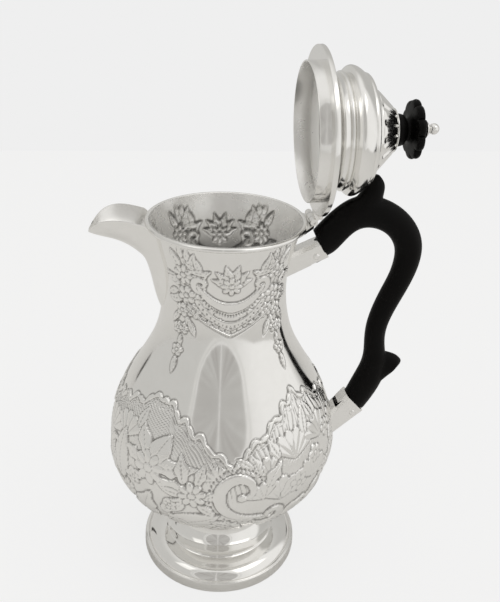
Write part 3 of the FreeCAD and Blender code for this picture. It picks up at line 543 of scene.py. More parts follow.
def chase_belly(canvas):
    """Swells, ground, flutes and edge first, then leaves, shells, scrolls and blooms."""
    edge_angle = np.linspace(-180, 0, 361)
    edge_arc = rocaille_edge(edge_angle)
    x = np.radians(canvas.angle) * canvas.radius
    below = np.interp(canvas.angle, edge_angle, edge_arc) - canvas.arc
    inside = np.clip(below / 1.5, 0, 1)
    fade = inside * np.clip((24 - below) / 12, 0, 1)
    lean = np.interp(canvas.angle, [-180, -120, -91, -60, 0], [0.0, -0.5, 0.0, 0.5, 0.0])
    sway = x + lean * below + 0.9 * np.sin(below / 5 + canvas.angle / 7)
    flute = np.abs(np.sin(math.pi * sway / 2.9))
    fine = np.abs(np.sin(math.pi * sway / 1.45 + 0.6))
    canvas.height += fade * (0.42 * flute + 0.16 * fine)
    matt = np.sin(2 * math.pi * x / 1.9) * np.sin(2 * math.pi * canvas.arc / 1.9)
    floor = np.interp(canvas.angle, [-180, -150, -120, -90, -60, -30, 0],
                      [66, 70, 64, 69, 64, 70, 66]) + 2.5 * np.abs(np.sin(
                          np.radians(canvas.angle) * 14))
    low = np.clip((canvas.arc - floor) / 2, 0, 1) * inside
    canvas.height += (1 - fade) * low * (0.08 * matt - 0.12)
    edge = np.stack([np.radians(edge_angle + 90) * 60, edge_arc - 130], -1)
    walk = np.r_[0, np.cumsum(np.hypot(*np.diff(edge, axis=0).T))]
    s = np.linspace(0, walk[-1], 900)
    path = np.stack([np.interp(s, walk, edge[:, 0]), np.interp(s, walk, edge[:, 1])], -1)
    curl = np.abs(np.sin(math.pi * s / 7.3 + 0.7 * np.sin(s / 11)))
    path[:, 1] += 1.3 * curl - 0.6
    flat = Canvas(canvas.angle[0], canvas.arc[:, 0])
    flat.radius, flat.height = flat.radius * 0 + 60, canvas.height
    ridge(flat, -90, 130, path, 0.65 + 0.95 * curl ** 0.7, 1.15, 0.25)
    path[:, 1] -= 3.4
    ridge(flat, -90, 130, path, 0.35 + 0.35 * curl, 0.45)
    canvas.height = flat.height
    for a, s0, size, spread, turn, ribs, rise in [
            (-152, 118, 15, 62, 6, 5, 1.0), (-168, 112, 15, 58, -6, 5, 1.1),
            (-57, 116, 17, 66, -4, 6, 1.3), (-36, 118, 15, 62, 10, 5, 1.2),
            (-16, 112, 14, 60, -6, 5, 1.1), (-72, 112, 11, 60, 24, 4, 1.0),
            (-66, 94, 16, 66, -4, 5, 1.4), (-75, 98, 11, 60, 18, 4, 1.2),
            (-46, 98, 15, 70, -10, 6, 1.3), (-24, 92, 14, 66, 14, 5, 1.2),
            (-97, 112, 8, 64, 30, 4, 0.8), (-142, 80, 14, 70, -150, 5, 1.0),
            (-98, 79, 12, 70, 175, 5, 0.9), (-57, 80, 14, 70, -170, 6, 1.1)]:
        shell(canvas, a, s0, size, spread, turn, ribs, rise)
    for a, s0, length, width, turn, bend, lobes, rise in [
            (-152, 92, 32, 15, 4, .05, 0, 2.0), (-166, 86, 28, 13, -8, 0, 3, 1.3),
            (-141, 66, 32, 15, -14, .12, 3, 1.7), (-155, 66, 28, 13, 16, 0, 3, 1.4),
            (-170, 62, 26, 12, -4, 0, 3, 1.2),
            (-131, 113, 22, 13, -22, .05, 0, 1.6), (-134, 117, 19, 9, 24, 0, 2, 1.1),
            (-128, 112, 25, 10, -70, .14, 3, 1.2), (-127, 106, 21, 9, -104, -.1, 2, 1.1),
            (-136, 104, 15, 8, 118, .1, 2, 1.1), (-138, 112, 13, 7, 66, -.1, 2, 1.0),
            (-123, 76, 33, 15, -74, -.14, 0, 1.6), (-125, 84, 21, 9, -36, .1, 2, 1.1),
            (-113, 108, 17, 8, 14, .1, 2, 1.0), (-107, 108, 14, 6, -22, -.1, 2, 0.9),
            (-104, 101, 13, 6, -72, 0, 0, 1.0), (-114, 101, 13, 6, 84, 0, 0, .9),
            (-106, 96, 12, 6, -128, 0, 0, .9), (-113, 96, 12, 6, 140, 0, 0, .9),
            (-73, 106, 15, 8, -24, .2, 2, 1.1), (-77, 113, 14, 7, 16, -.1, 2, 1.0),
            (-80, 117, 11, 5, 46, -.1, 0, .8), (-66, 120, 13, 6, 30, .1, 2, 1.0),
            (-66, 96, 18, 8, -40, .1, 2, 1.1), (-64, 74, 22, 10, -58, -.1, 2, 1.2),
            (-44, 74, 24, 11, -16, .1, 3, 1.3), (-34, 72, 22, 10, 18, 0, 3, 1.2),
            (-14, 76, 30, 13, 6, 0, 3, 1.3), (-4, 64, 22, 11, 0, 0, 3, 1.1),
            (-26, 108, 15, 7, -40, .1, 2, 1.1), (-48, 126, 16, 7, -8, .1, 0, 1.0),
            (-38, 130, 13, 6, 16, 0, 0, 0.9), (-144, 128, 14, 6, -6, .1, 0, 0.9),
            (-108, 72, 20, 9, 62, .15, 2, 1.2), (-100, 70, 18, 8, -58, -.15, 2, 1.1),
            (-132, 68, 18, 8, 70, .1, 2, 1.1), (-118, 68, 16, 8, 4, .1, 2, 1.1),
            (-84, 69, 18, 8, 40, .1, 2, 1.1), (-74, 68, 18, 8, -50, -.1, 2, 1.1),
            (-90, 78, 13, 6, 70, .1, 0, 1.0), (-54, 66, 18, 8, 50, .1, 2, 1.1),
            (-22, 66, 20, 9, -40, .1, 2, 1.1), (-148, 62, 18, 8, -50, .1, 2, 1.1)]:
        leaf(canvas, a, s0, length, width, turn, bend, lobes, rise)
    scroll(canvas, -85.5, 104.5, 24, -58, -400, 3.3, 1.9, 0.46)
    around = spiral(24, -70, -260, 0.7, 30, 0.46)
    around = around * (1 + 4.8 / np.linalg.norm(around, axis=1, keepdims=True))
    beads(canvas, -85.5, 104.5, around, 0.75, -0.6)
    scroll(canvas, -70, 84, 10, 200, 400, 2.8, 1.3)
    scroll(canvas, -160, 104, 9, 60, 380, 2.4, 1.1)
    for a, s0, size, petals, rise in [(-132, 111, 10, 8, 1.8), (-109, 102, 8, 8, 1.5),
                                      (-165, 88, 7.5, 6, 1.3), (-56, 101, 6.5, 6, 1.5),
                                      (-35, 97, 6, 6, 1.4), (-43, 112, 5.5, 5, 1.3),
                                      (-29, 120, 5.5, 5, 1.2), (-22, 106, 5, 5, 1.2),
                                      (-10, 92, 6.5, 6, 1.2), (-147, 88, 5.5, 6, 1.3),
                                      (-120, 92, 4.5, 5, 1.1), (-141, 100, 4.5, 5, 1.1)]:
        bloom(canvas, a, s0, size, petals, 12, rise)
    for a, s0, size, rise in [(-150, 108, 11, .9), (-132, 110, 12, .7), (-140, 82, 11, .9),
                              (-112, 84, 10, .7), (-84, 92, 13, .6), (-56, 108, 13, .9),
                              (-33, 106, 12, .9), (-14, 96, 12, .8), (-168, 92, 11, .8)]:
        x, y = canvas.local(a, s0)
        canvas.height += rise * np.exp(-(x * x + y * y) / size ** 2)


# %% [markdown]
# The neck: a boat-shaped cartouche with a daisy and a shell over it, rows of punched dots and
# a pointed border beneath, and a cluster of flowers with a hanging drop on each side.

# %% The neck's chasing


def chase_neck(canvas):
    """The cartouche in the middle of the side, and each cluster drawn twice."""
    for side in (-1, 1):
        for away, s0, length, width, turn, lobes in [
                (34, 217, 13, 6, 58, 2), (35, 222, 12, 5.5, 20, 2), (44, 223, 11, 5, -22, 0),
                (47, 212, 11, 5, -60, 2), (33, 207, 12, 6, 100, 2), (45, 204, 11, 5, -100, 0),
                (27, 203, 11, 6, 72, 2), (46, 172, 10, 3.6, 180, 0), (41, 195, 8, 3.4, 150, 0),
                (49, 196, 8, 3.4, -150, 0), (45, 184, 8, 3, 180, 0)]:
            leaf(canvas, -90 + side * away, s0, length, width, side * turn, 0, lobes, 0.9)
        for away, s0, size, petals in [(41, 219, 6.2, 8), (40, 207, 5.6, 6), (33, 199, 4.6, 5),
                                       (45, 198, 4.2, 5), (42.5, 188, 3.4, 5),
                                       (48.5, 187.5, 3.4, 5), (46, 175.5, 3.8, 5),
                                       (30, 214, 3.2, 5)]:
            bloom(canvas, -90 + side * away, s0, size, petals, 10 * side, 1.0)
    for side in (-1, 1):
        for away, s0, length, width, turn, bend in [
                (23, 219, 13, 4.5, -38, .25), (26, 222, 10, 4, -4, .2), (19, 221, 11, 4, -70, .3),
                (29, 209, 9, 4.4, 40, .2), (30, 205, 9, 4.4, 110, .2), (36, 228, 8, 3.6, 10, .1),
                (40, 229, 8, 3.6, -8, 0), (49, 214, 9, 4, -84, .1), (50, 208, 9, 4, -110, .1),
                (25, 197, 9, 4, 64, .2), (21, 194, 8, 3.4, 80, .2), (37, 193, 9, 4, 160, .1)]:
            leaf(canvas, -90 + side * away, s0, length, width, side * turn, side * bend, 0, 0.7)
    for turn in (-74, -46, -16, 16, 46, 74):
        leaf(canvas, -90, 216, 13 - 0.03 * abs(turn), 4.8, turn, 0, 2, 0.8)
    band = bent(19, -10, 3, 260)
    share = np.abs(band[:, 0]) / 19
    border = np.stack([np.linspace(-23, 23, 240), np.zeros(240)], -1)
    for drop, width, rise in [(-25.5, 0.65, 0.6), (-22.2, 0.55, 0.5)]:
        border[:, 1] = drop + 12 * (np.abs(border[:, 0]) / 23) ** 1.15
        ridge(canvas, -90, 213, border + 0, np.full(240, width), rise)
    border[:, 1] = -23.8 + 12 * (np.abs(border[:, 0]) / 23) ** 1.15
    beads(canvas, -90, 213, border[8::16], 0.5, -0.45)
    ridge(canvas, -90, 213, bent(17, -19.5, -8.5, 200), np.full(200, 1.7), 0.55, 0.35)
    beads(canvas, -90, 213, bent(16.5, -14.6, -3.6, 25), 0.62, -0.6)
    beads(canvas, -90, 213, bent(16, -20.4, -9.6, 17), 0.5, -0.45)
    ridge(canvas, -90, 213, band, 2.9 - 1.5 * share, 1.3, 0.25)
    for side in (-1, 1):
        scroll(canvas, -90 + side * 25.5, 215, 5.4, -90 if side < 0 else -90, -side * -380,
               1.9, 1.1)
    bloom(canvas, -90, 215.5, 5.6, 8, 0, 1.3)
    canvas.height *= 1.3


# %% [markdown]
# The wall is one sheet of silver, so outside and inside come from the same height field: the
# outside exact, the inside blurred, as the back of a punched sheet is. It is built in pieces
# round the jug so that none is too heavy, and their edges share the same points.

# %% The chased wall


def blurred(height, times):
    """Each pass takes a quarter of each neighbour and half of the point itself."""
    for _ in range(times):
        height = 0.5 * height + 0.25 * (np.roll(height, 1, 1) + np.roll(height, -1, 1))
        ends = np.vstack([height[:1], height, height[-1:]])
        height = 0.5 * height + 0.25 * (ends[2:] + ends[:-2])
    return height


def wall_surface(arcs, angles, height):
    """Point = profile point moved along its own normal (dz, -dr) by height, carried round;
    the normals come from the steps between neighbouring points."""
    r = np.interp(arcs, body_arc, body_line[:, 0])
    z = np.interp(arcs, body_arc, body_line[:, 1])
    dr, dz = np.gradient(r, arcs)[:, None], np.gradient(z, arcs)[:, None]
    t = np.radians(angles)[None, :]
    far = r[:, None] + dz * height
    points = np.stack([far * np.cos(t), far * np.sin(t), z[:, None] - dr * height], -1)
    wide = np.concatenate([points[:, -2:-1], points, points[:, 1:2]], 1)
    normals = np.cross(wide[:, 2:] - wide[:, :-2], np.gradient(points, axis=0))
    return points, normals / np.linalg.norm(normals, axis=-1, keepdims=True)


PROUD = 1.8
EASE = 2.4


def held_in(height):
    """Relief up to half of PROUD stays; above that it nears PROUD along a tanh, so the tallest
    lumps are flattened and the wall stays close to the jug's width."""
    low = PROUD / 2
    return np.where(height < low, height, low + low * np.tanh((height - low) / (EASE * low)))


def chased_wall(names, start, stop, step, columns, chase, fade):
    """Builds one band of the wall, cut into len(names) equal pieces round the jug."""
    arcs = np.linspace(start, stop, int(round((stop - start) / step)) + 1)
    angles = np.linspace(-180, 180, columns + 1)
    canvas = Canvas(-np.abs(angles), arcs)
    chase(canvas)
    height = held_in(canvas.height * fade(canvas))
    outer, normals = wall_surface(arcs, angles, height)
    soft = blurred(height, 3)
    inner, inner_normals = wall_surface(arcs, angles, soft)
    inner = inner - WALL * inner_normals
    hollow = np.clip((blurred(height, 5) - height) / 0.26 - 0.12, 0, 1)
    share = columns // len(names)
    for k, name in enumerate(names):
        cut = slice(k * share, (k + 1) * share + 1)
        pick = [a[:, cut].reshape(-1, 3) for a in (outer, inner, normals, inner_normals)]
        faces = grid_faces(len(arcs), share + 1)
        pick, faces = window_cut(pick, faces)
        points, faces = walled(pick[0], pick[1], faces)
        thing, used = put_mesh(name, points, faces, np.concatenate([pick[2], -pick[3]]))
        depth = np.tile(hollow[:, cut].ravel(), 2)[used]
        thing.data.attributes.new("hollow", "FLOAT", "POINT").data.foreach_set(
            "value", depth.astype(np.float32))
        own(thing, "jug", ["body"], chased_silver)


def window_cut(pick, faces):
    """Opens the pour window behind the spout: half width 10 above z 205 and a half circle
    below it. Points on the cut edge move onto the window's true outline."""
    outer = pick[0]
    middle = outer[faces].mean(1)
    foot = np.clip((205 - middle[:, 2]) / 10, 0, 1)
    half = 10 * np.sqrt(1 - foot ** 2)
    gone = ((np.abs(middle[:, 1]) < half) & (middle[:, 2] > 195) & (middle[:, 2] < 214.5)
            & (middle[:, 0] < 0))
    if not gone.any():
        return pick, faces
    edge = np.intersect1d(faces[gone], faces[~gone])
    t = np.linspace(-math.pi / 2, 0, 200)
    line = np.vstack([np.stack([10 * np.cos(t), 205 + 10 * np.sin(t)], -1),
                      np.stack([np.full(120, 10.0), np.linspace(205, 214.5, 120)], -1),
                      np.stack([np.linspace(10, 0, 120), np.full(120, 214.5)], -1)])
    side = np.sign(middle[:, 1].mean())
    at = outer[edge][:, 1:] * (side, 1)
    best = np.hypot(at[:, :1] - line[:, 0], at[:, 1:] - line[:, 1]).argmin(1)
    for which, inset in ((0, 0.0), (1, WALL)):
        moved = pick[which]
        y, z = line[best, 0] * side, line[best, 1]
        moved[edge] = np.stack([-np.sqrt((body_radius(z) - inset) ** 2 - y ** 2), y, z], -1)
    return pick, faces[~gone]


def plain_ends(first, last):
    """Lets the relief die away towards both edges of a band."""
    def fade(canvas):
        return (np.clip((canvas.arc - first) / 2.5, 0, 1)
                * np.clip((last - canvas.arc) / 2.5, 0, 1))
    return fade


BELLY_FROM, BELLY_TO = 22.0, 156.0
belly_names = ["belly_front_spout_side", "belly_front_handle_side",
               "belly_back_handle_side", "belly_back_spout_side"]
chased_wall(belly_names, BELLY_FROM, BELLY_TO, 0.56, 740, chase_belly,
            plain_ends(BELLY_FROM, BELLY_TO))
chased_wall(["neck_front", "neck_back"], BELLY_TO, LAST_ARC, 0.5, 480, chase_neck,
            plain_ends(BELLY_TO, LAST_ARC - 3))
floor_line = body_line[body_arc <= BELLY_FROM][::12]
floor_line = np.vstack([floor_line, [np.interp(BELLY_FROM, body_arc, body_line[:, 0]),
                                     np.interp(BELLY_FROM, body_arc, body_line[:, 1])]])
own(turned("belly_floor", thickened(floor_line, WALL), 370), "jug", ["body"],
    silver)

# %% [markdown]
# The spout is a beak: ovals that all hang from one level line, deep at the neck and shallow at
# the lip, and the metal above the lip line left away. Its root is found by stepping each line
# outwards until it leaves the neck.

# %% The spout
STATIONS = np.array([(28.0, 72.0, 12.8), (30.1, 68.6, 13.0), (36.0, 58.0, 13.3),
                     (38.3, 43.8, 13.7), (41.2, 31.8, 14), (43.9, 28.5, 14), (50.9, 22.6, 14), (57.9, 19.8, 13.6),
                     (63.9, 18.7, 11.3), (67.9, 17.8, 6.9), (69.9, 17, 2.5)])
LEVEL = 228.0
LIP = np.vstack([[(28, 216.6), (39.5, 216.6), (41.0, 218.2)],
                 curve([(42, 218.9), (47.9, 220.6), (57.9, 223), (66.4, 218.5), (70.4, 211.5)],
                       60)])


def beak(out, v):
    """Point = (-out, half sin a, level - deep cos a), a = v times the angle where the oval
    meets the lip line."""
    line = curve(STATIONS, 900)
    deep, half = (np.interp(out, line[:, 0], line[:, k]) for k in (1, 2))
    top = np.interp(out, LIP[:, 0], LIP[:, 1])
    a = v * np.arccos(np.clip((LEVEL - top) / deep, -1, 1))
    return np.stack([-out, half * np.sin(a), LEVEL - deep * np.cos(a)], -1)


across = np.linspace(-1, 1, 161)[None, :]
steps = np.linspace(30.1, 69.85, 1200)[:, None] + 0 * across
trial = beak(steps, across + 0 * steps)
clear = np.hypot(trial[..., 0], trial[..., 1]) > body_radius(trial[..., 2]) - 0.05
root = steps[clear.argmax(0), 0][None, :]
reach = np.linspace(0, 1, 150)[:, None]
out = root + (69.85 - root) * reach
skin = beak(out, across + 0 * out)
normal = np.cross(np.gradient(skin, axis=1), np.gradient(skin, axis=0))
normal /= np.linalg.norm(normal, axis=-1, keepdims=True)
down = normal[75, 80, 2]
print("spout normal at the keel points", "down" if down < 0 else "up")
faces = grid_faces(150, 161)
if down > 0:
    normal, faces = -normal, faces[:, ::-1]
points, faces = walled(skin.reshape(-1, 3), (skin - WALL * normal).reshape(-1, 3), faces)
beak_piece = weld(put_mesh("beak_spout", points, faces)[0], 40)
own(beak_piece, "jug", ["spout"], silver)

# %% [markdown]
# The handle was sawn from ebony and rasped round: an oval that changes along a double curve,
# with a leaf-shaped thumb piece on top, a pointed heel near the foot and a tenon at each end that
# goes into its socket. The swept forms
# are melted into one skin with a voxel remesh and smoothed, which leaves the soft hollows that
# a rasp leaves between them.

# %% The handle
# out, up, depth in the plane and the tilt of the section's long side
GRIP = [(50, 203, 16, 118), (55.5, 208, 18.5, 117), (66, 218, 18.5, 101), (78.5, 220, 17, 80),
        (91.5, 213.5, 15.5, 50), (99.5, 200, 15, 15), (98, 184, 13.5, -13), (93, 170.5, 13, -19),
        (87.5, 152, 12, -5), (88, 135.5, 12.5, 4), (88, 123, 16, -13), (83.5, 110.5, 17, -33),
        (79, 101.5, 16, -44)]
THUMB = [(73, 222, 17, 0), (74, 226, 15.5, 0), (75.5, 230, 12.5, 0), (77, 234, 11, 0),
         (77, 237.5, 9, 0), (76.5, 240.5, 4, 0)]
HEEL = [(86.5, 122, 26, 88), (91.5, 122.5, 24.5, 84), (96.5, 124, 19, 76),
        (100.5, 125.5, 11.5, 66), (104, 126.5, 4, 58)]
UPPER_TENON = np.linspace((46, 198, 8.5, 118), (55, 207, 8.5, 118), 4)
LOWER_TENON = np.linspace((74, 97, 9, -43), (82, 106, 9, -43), 4)


def swept(line, wide):
    """Ring at a station = centre + deep/2 cos p along (cos a, 0, sin a) + wide/2 sin p along
    Y, closed by a point at each end. wide never passes 0.93 of deep."""
    x, z, deep, a = line.T[:, :, None]
    p = (np.arange(72) * 2 * math.pi / 72)[None, :]
    half = np.minimum(wide, 0.93 * deep) / 2
    c, s = np.cos(np.radians(a)), np.sin(np.radians(a))
    rings = np.stack([x + deep / 2 * np.cos(p) * c, half * np.sin(p) + 0 * x,
                      z + deep / 2 * np.cos(p) * s], -1)
    ends = rings.mean(1, keepdims=True) + 0 * rings
    return np.concatenate([ends[:1], rings, ends[-1:]])


parts, all_faces, start = [], [], 0
for line, wide in [(through(GRIP, 260), 13.0), (curve(THUMB, 72), 11.0), (curve(HEEL, 60), 11.0),
                   (curve(UPPER_TENON, 48), 7.5), (curve(LOWER_TENON, 48), 8.5)]:
    rings = swept(line, wide)
    parts.append(rings.reshape(-1, 3))
    all_faces.append(grid_faces(rings.shape[0], 72, True) + start)
    start += rings.shape[0] * 72
rough_handle = weld(put_mesh("rough_handle", np.vstack(parts), np.vstack(all_faces))[0])


def melted(thing, name, voxel, passes):
    """Voxel remesh, then a light smoothing; the finished mesh replaces the rough one."""
    thing.modifiers.new("melt", "REMESH").voxel_size = voxel * MM
    ease = thing.modifiers.new("ease", "SMOOTH")
    ease.factor, ease.iterations = 0.5, passes
    ready = bpy.data.meshes.new_from_object(thing.evaluated_get(
        bpy.context.evaluated_depsgraph_get()))
    made = bpy.data.objects.new(name, ready)
    bpy.context.scene.collection.objects.link(made)
    bpy.data.objects.remove(thing)
    made.data.shade_smooth()
    return made


handle = melted(rough_handle, "ebony_handle", 0.55, 7)
own(handle, "jug", ["handle"], ebony)

# %% [markdown]
# The lid is drawn shut, as turned rings on the jug's own middle line, and then swung back on
# its hinge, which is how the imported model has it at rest. A flat flange carries a hollow
# moulding, a bulging dome and a small cone with gadroons, hammered lobes like orange segments.

# %% The lid
SEAT = 218.3
hinge = frame["joints"][0]
HINGE_X, _, HINGE_Z = (part / MM for part in hinge["pos_m"])
OPEN_DEG = -hinge["range_deg"][0]
print("lid opens", OPEN_DEG, "degrees about x", round(HINGE_X, 2), "z", round(HINGE_Z, 2))


def swung(points):
    """Turns lid points by the open angle about the hinge: x' = hx + dx cos + dz sin."""
    c, s = math.cos(math.radians(OPEN_DEG)), math.sin(math.radians(OPEN_DEG))
    dx, dz = points[:, 0] - HINGE_X, points[:, 2] + SEAT - HINGE_Z
    return np.stack([HINGE_X + dx * c + dz * s, points[:, 1], HINGE_Z - dx * s + dz * c], -1)


def gadroons(r, z, t):
    """Fourteen lobes: growth = 0.75 (|cos 7t| - 0.6) between the cone's foot and its top."""
    zone = np.clip((z - 28.4) / 1.6, 0, 1) * np.clip((38.35 - z) / 0.8, 0, 1)
    lobe = np.sqrt(np.abs(np.cos(7 * t)) + 0.02)
    return zone * (2.6 * (lobe - 0.76)) * (0.35 + 0.65 * r / 20.2)


moulding = curve([(41.4, 2.3), (41.3, 2.7), (37.2, 3.0), (34.5, 4.4), (31.5, 5.5), (28.6, 7.4),
                  (28.1, 10.4)], 70)
flange = np.vstack([[(34.4, 0), (41.2, 0), (41.4, .25)], moulding,
                    [(27.3, 10.4), (27.7, 7.2), (31.2, 4.8), (34.0, 3.7), (34.4, 3.2)]])
own(turned("lid_flange_ring", flange, 320, None, swung), "lid", ["lid_flange"],
    lid_silver)
bezel = np.array([(33.6, 1.8), (33.6, -5.1), (33.8, -5.4), (34.2, -5.4), (34.4, -5.1),
                  (34.4, 1.8)])
own(turned("lid_bezel_ring", bezel, 320, None, swung), "lid", ["lid_bezel"], lid_silver)
t = np.linspace(-math.pi / 2, math.pi / 2, 20)
bead = np.vstack([[(27.3, 10.4)], np.stack([28.1 + 1.1 * np.cos(t), 11.6 + 1.2 * np.sin(t)], -1),
                  [(27.3, 12.8)]])
own(turned("lid_bead_wire", bead, 320, None, swung), "lid", ["lid_wire"], lid_silver)
dome_line = np.vstack([
    curve([(28.1, 12.8), (31.5, 14.3), (32.7, 17.3), (29.9, 21.0), (28.1, 22.9)], 60),
    [(28.1, 23.6), (27.9, 24.3), (27.3, 24.9), (26.6, 25.3)],
    curve([(26.2, 25.35), (23.0, 25.5), (20.9, 26.2), (20.2, 28.6)], 24),
    curve([(20.2, 28.7), (17.6, 31.8), (13.3, 35.8), (10.9, 38.4)], 40),
    [(10.2, 38.4), (1.3, 38.4)]])
own(turned("lid_dome_shell", thickened(dome_line, WALL), 420, gadroons, swung, 32), "lid",
    ["lid_dome"], lid_silver)

# %% [markdown]
# The finial: an ebony flower between a turned neck and a small cone, held by a silver collar
# and a ball. Petals are carved as shallow cups with a ridge between each two.

# %% The finial
PETALS = 10


def petal_edge(r, z, t):
    """Scallops the disc's edge, most at the rim: growth = -1.5 (1 - |cos 5t|^0.5) (r/15)^3,
    and dishes the top of each petal through the profile itself."""
    lobe = np.abs(np.cos(PETALS / 2 * t)) ** 0.5
    return -2.0 * (1 - lobe) * np.clip(r / 15, 0, 1) ** 3 * ((z > 44) & (z < 53))


own(turned("finial_seat_ring", np.array([(1.3, 38.4), (10.5, 38.4), (10.9, 38.6), (10.9, 39.0),
                                         (10.6, 39.2), (8.2, 39.3), (1.3, 39.3)]), 128, None, swung),
    "lid", ["lid_dome"], lid_silver)
neck_line = np.vstack([[(1.3, 39.2)], curve([(7.2, 39.2), (8.6, 39.6), (8.2, 42.0), (7.4, 43.9)],
                       16), [(1.3, 43.9)]])
own(turned("finial_drum", neck_line, 128, None, swung), "lid", ["finial_base"], ebony)
flower_line = np.vstack([
    [(1.3, 43.9)], curve([(6.4, 43.9), (5.4, 44.6), (5.6, 46.4), (8.5, 47.4), (13.0, 47.3),
                          (14.8, 48.0), (15.0, 49.6)], 40),
    curve([(15.0, 49.7), (14.8, 51.3), (12.8, 51.9), (9.5, 50.6), (7.0, 50.0), (5.8, 52.0),
           (4.6, 55.6)], 44), [(1.3, 55.6)]])
own(turned("finial_flower", flower_line, 240, petal_edge, swung, 50), "lid",
    ["finial_knob"], ebony)
collar_line = np.vstack([[(1.3, 55.6)], curve([(3.6, 55.6), (4.0, 56.0), (3.6, 57.0),
                         (2.2, 57.2)], 12), [(1.3, 57.2)]])
own(turned("finial_collar_ring", collar_line, 96, None, swung), "lid",
    ["finial_collar"], silver)
t = np.linspace(-math.pi / 2 + 0.45, math.pi / 2, 24)
ball = np.vstack([[(0, 38.0), (1.2, 38.0), (1.2, 57.3)],
                  np.stack([2.8 * np.cos(t), 60.0 + 2.8 * np.sin(t)], -1)])
own(turned("finial_ball_and_bolt", ball, 96, None, swung), "lid", ["finial_bolt"],
    silver)

# %% [markdown]
# The sockets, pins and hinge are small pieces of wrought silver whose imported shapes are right,
# so they stay as they are and only get their metal. The nut and washer inside the lid are brass.

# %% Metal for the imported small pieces
for node in ("upper_handle_socket", "lower_handle_socket", "body_hinge_leaf", "lid_hinge_leaf",
             "upper_socket_pin", "lower_socket_pin", "hinge_pin", "finial_nut",
             "finial_washer"):
    kept = frame["nodes"][node]
    kept.data.materials.clear()
    drawn = bright_pin if "pin" in node else silver
    kept.data.materials.append(brass if node in ("finial_nut", "finial_washer") else drawn)

# %% [markdown]
# Silver shows the room. The room here is a pale cloth tent, a little darker to the left, with
# a grey arch in front where the camera looks in and one narrow black gap on the right. The
# world is painted by direction only, so it stays where it is from every view.

# %% The tent


DEGREE = math.radians(1)
ARCH_AZIMUTH, ARCH_HEIGHT = -9, 27
ARCH_HALF_WIDTH, ARCH_HALF_HEIGHT = 32, 34
PANEL_STRENGTH = 1.7


def band(source, low, high, soft):
    """The two borders of a band: it rises round low and falls round high, soft either side.
    A border is its source, where the mask is 0 and where it is 1."""
    return [(source, low - soft, low + soft), (source, high + soft, high - soft)]


def masked(tree, sources, borders):
    """A mask: the product of smooth steps, one for each border, in the source's own unit."""
    share = 1.0
    for source, zero_at, one_at in borders:
        socket, unit = sources[source]
        rise = add(tree, "ShaderNodeMapRange",
                   {"interpolation_type": "SMOOTHSTEP", "From Min": zero_at * unit,
                    "From Max": one_at * unit}, {"Value": socket}).outputs["Result"]
        share = rise if share == 1.0 else add(
            tree, "ShaderNodeMath", {"operation": "MULTIPLY"}, {0: share, 1: rise}).outputs[0]
    return share


def tent_sources(tree):
    """What the masks read: turn is the azimuth, 0 towards -Y and positive to +X; up is the
    height; side is the azimuth from the arch's middle; slant is turn less up; off is the
    distance from the arch's middle, 1 on its edge. The last value is the way to it."""
    way = add(tree, "ShaderNodeTexCoord").outputs["Generated"]
    parts = add(tree, "ShaderNodeSeparateXYZ", links={"Vector": way}).outputs
    flip = add(tree, "ShaderNodeMath", {"operation": "MULTIPLY", 1: -1.0}, {0: parts["Y"]})
    turn = add(tree, "ShaderNodeMath", {"operation": "ARCTAN2"},
               {0: parts["X"], 1: flip.outputs[0]}).outputs[0]
    up = add(tree, "ShaderNodeMath", {"operation": "ARCSINE"}, {0: parts["Z"]}).outputs[0]
    side = add(tree, "ShaderNodeMath", {"operation": "SUBTRACT", 1: ARCH_AZIMUTH * DEGREE},
               {0: turn}).outputs[0]
    lift = add(tree, "ShaderNodeMath", {"operation": "SUBTRACT", 1: ARCH_HEIGHT * DEGREE},
               {0: up}).outputs[0]
    wide = add(tree, "ShaderNodeMath", {"operation": "DIVIDE", 1: ARCH_HALF_WIDTH * DEGREE},
               {0: side}).outputs[0]
    tall = add(tree, "ShaderNodeMath", {"operation": "DIVIDE", 1: ARCH_HALF_HEIGHT * DEGREE},
               {0: lift}).outputs[0]
    outwards = add(tree, "ShaderNodeCombineXYZ", {}, {"X": wide, "Y": tall}).outputs["Vector"]
    off = add(tree, "ShaderNodeVectorMath", {"operation": "LENGTH"},
              {0: outwards}).outputs["Value"]
    slant = add(tree, "ShaderNodeMath", {"operation": "SUBTRACT"}, {0: turn, 1: up}).outputs[0]
    named = {"turn": turn, "up": up, "side": side, "slant": slant}
    sources = {name: (socket, DEGREE) for name, socket in named.items()}
    return {**sources, "off": (off, 1.0)}, outwards


def folded_cloth(tree, outwards):
    """The arch's cloth: noise read by direction only, so its folds run out from the middle."""
    heart = add(tree, "ShaderNodeVectorMath", {"operation": "NORMALIZE"},
                {0: outwards}).outputs["Vector"]
    folds = add(tree, "ShaderNodeTexNoise", {"Scale": 4.2, "Detail": 1.0},
                {"Vector": heart}).outputs["Fac"]
    folds = add(tree, "ShaderNodeMapRange", {"From Min": 0.32, "From Max": 0.68},
                {"Value": folds}).outputs["Result"]
    return add(tree, "ShaderNodeMix", {"data_type": "RGBA", 6: linear("#a9a6a3"),
                                       7: linear("#c4c3c0")}, {0: folds}).outputs[2]


